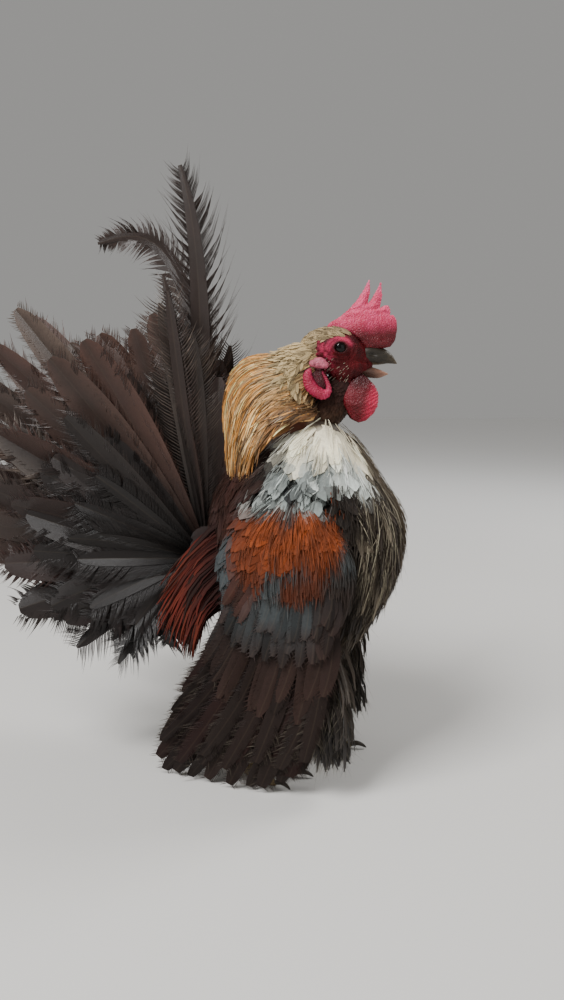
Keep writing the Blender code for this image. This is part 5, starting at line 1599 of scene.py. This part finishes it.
def fluff_colour(seen):
    # painted shade: darker towards the ground, under the body
    return mix(SOOT * 0.6, UMBER * 0.8, smooth(20, 80, seen[..., 2]))


def make_fluff(material):
    """Long loose feathers of thighs, vent and belly, frayed to hair at their ends."""
    coat = Coat("fluff_plumes", material, "fluff")
    tuft = Plume(broad(0.5, 0.5, 0.25), 0.2, camber=0.2, slant=1.6, blade=0.22, ragged=0.25, clump=0.7,
                 droop=2.2)
    tuft.sheet(1, 3, 0.3).fringe(6, first=0.12, last=0.97, inner=0.1, cuts=1)
    colours = with_pattern(fluff_colour, 0.0, 1.0, 0.4)

    def rimmed(seen, t, reach, draw, barb):
        # painted highlight: pale taupe rims on the edges of some feathers
        rim = smooth(0.5, 1.0, np.abs(reach)) * smooth(0.35, 0.9, t) * (np.mod(draw * 13, 1) > 0.35)
        return mix(colours(seen, t, reach, draw, barb), TAUPE, 0.75 * rim)

    for side in SIDES:
        rng = np.random.default_rng(260 + side)
        number = 560
        angle, row = 2 * math.pi * rng.random(number), rng.random(number)
        lean, reach = stance(side, 30), 1 + rng.normal(0, 0.08, number)
        top = 62 - 22 * row
        low = np.maximum(top - 26 - 10 * rng.random(number), 17 + 7 * rng.random(number))
        rings = [(13, 9, top, lean * 0.3), (20.5 * reach, 12.5, 0.55 * top + 0.45 * low, lean * 0.7),
                 ((20 - 4 * row) * reach, 11.5, low, lean)]
        lines = bent_lines(*(stack(52 + shift + radius_x * np.cos(angle),
                                   side * (HIP_Y + 1.5 + radius_y * np.sin(angle)), z)
                             for radius_x, radius_y, z, shift in rings), 7)
        ups = np.zeros_like(lines) + stack(np.cos(angle), side * np.sin(angle), 0)[:, None]
        bake = stack(0.05 + 0.4 * np.mod(angle / (2 * math.pi), 1) + 0.45 * (side > 0), 0.05 + 0.4 * row)
        coat.lay(tuft, lines, ups, 6 + 3 * rng.random(number), colours, bake, 262 + side)
        number = 330
        root = stack(62 + 14 * rng.random(number), side * (22 + 16 * rng.random(number)),
                     26 + 52 * rng.random(number))
        fall = np.minimum(20 + 10 * rng.random(number), root[:, 2] - 17)
        out = stack(7 + 6 * rng.random(number), side * rng.normal(2, 2, number), -0.25 * fall)
        tip = stack(6 + 6 * rng.random(number), side * rng.normal(1, 3, number), -fall)
        lines = bent_lines(root, root + out, root + tip, 7)
        ups = np.zeros_like(lines) + np.array([0.8, 0.5 * side, 0.2]) + rng.normal(0, 0.3, (number, 1, 3))
        bake = stack(0.05 + 0.9 * rng.random(number), 0.95)
        coat.lay(tuft, lines, unit(ups), 6 + 3 * rng.random(number), rimmed, bake, 266 + side)
    rng = np.random.default_rng(270)
    number = 620
    angle, t = 1.35 * (2 * rng.random(number) - 1), 0.60 + 0.38 * rng.random(number)
    reach = (18 + 8 * rng.random(number)) / TORSO_SPAN
    coat.grow(tuft, TORSO, t, angle, reach, rng.normal(0, 0.08, number), 0.0, 4 + 4 * rng.random(number),
              hang=3 + 6 * rng.random(number), widths=7 + 3 * rng.random(number), colour_of=colours, seed=272,
              bake=form_bake(t, angle) * np.array([1, 0.45]) + np.array([0, 0.5]))
    coat.finish()


# The studio


def add_object(name, data, place=(0, 0, 0), turn=(0, 0, 0)):
    obj = bpy.data.objects.new(name, data)
    obj.location, obj.rotation_euler = place, turn
    bpy.context.scene.collection.objects.link(obj)
    return obj


def make_studio():
    """A pale floor, three soft lamps, an even sky and the camera."""
    bm = bmesh.new()
    bmesh.ops.create_circle(bm, cap_ends=True, segments=96, radius=6)
    mesh = bpy.data.meshes.new("studio_floor")
    bm.to_mesh(mesh)
    bm.free()
    mesh.materials.append(floor_material())
    add_object("studio_floor", mesh)
    world = bpy.data.worlds.new("studio")
    bpy.context.scene.world = world
    world.use_nodes = True
    sky = world.node_tree.nodes["Background"].inputs
    sky["Color"].default_value, sky["Strength"].default_value = WORLD_COLOUR, WORLD_STRENGTH
    for name, place, size, power in LAMPS:
        light = bpy.data.lights.new(name, "AREA")
        light.size, light.energy = size, power
        add_object(name, light, place, (Vector(LAMP_AIM) - Vector(place)).to_track_quat("-Z", "Y").to_euler())
    camera = bpy.data.cameras.new("camera")
    camera.lens, camera.clip_start = CAMERA_LENS, 0.01
    turn = (math.pi / 2 - CAMERA_PITCH, 0, CAMERA_AZIMUTH)
    bpy.context.scene.camera = add_object("camera", camera, CAMERA_PLACE, turn)


def make_bird():
    skin = plumage_material("down and skin", 0.08, 0.85, 0.2, 0.0)
    make_body_skin(skin)
    make_flesh(skin)
    make_eyes()
    make_beaks()
    scutes = scute_material("leg scutes")
    claw = horn_material("claw horn", (0.010, 0.008, 0.007), (0.16, 0.12, 0.08))
    for side in SIDES:
        make_leg(side, scutes, claw)
    silky = plumage_material("silky hackle", 0.05, 0.45, 0.35, 0.08, sheen=0.05)
    soft = plumage_material("soft breast", 0.05, 0.8, 0.3, 0.04, sheen=0.05, gloss=0.15)
    wing = plumage_material("wing vanes", 0.05, 0.6, 0.4, 0.06, 0.25, sheen=0.02, gloss=0.15)
    tail = plumage_material("tail vanes", 0.06, 0.40, 0.4, 0.05, sheen=0.05, gloss=0.3)
    downy = plumage_material("loose down", 0.08, 0.85, 0.2, 0.0, sheen=0.1)
    make_hackles(silky)
    make_crown(soft)
    rng = np.random.default_rng(240)
    make_breast(soft, rng)
    make_breast_fringe(soft, rng)
    make_fluff(downy)
    make_saddle(soft)
    for side in SIDES:
        make_wing(side, wing)
        make_tail(side, tail)


make_studio()
make_bird()
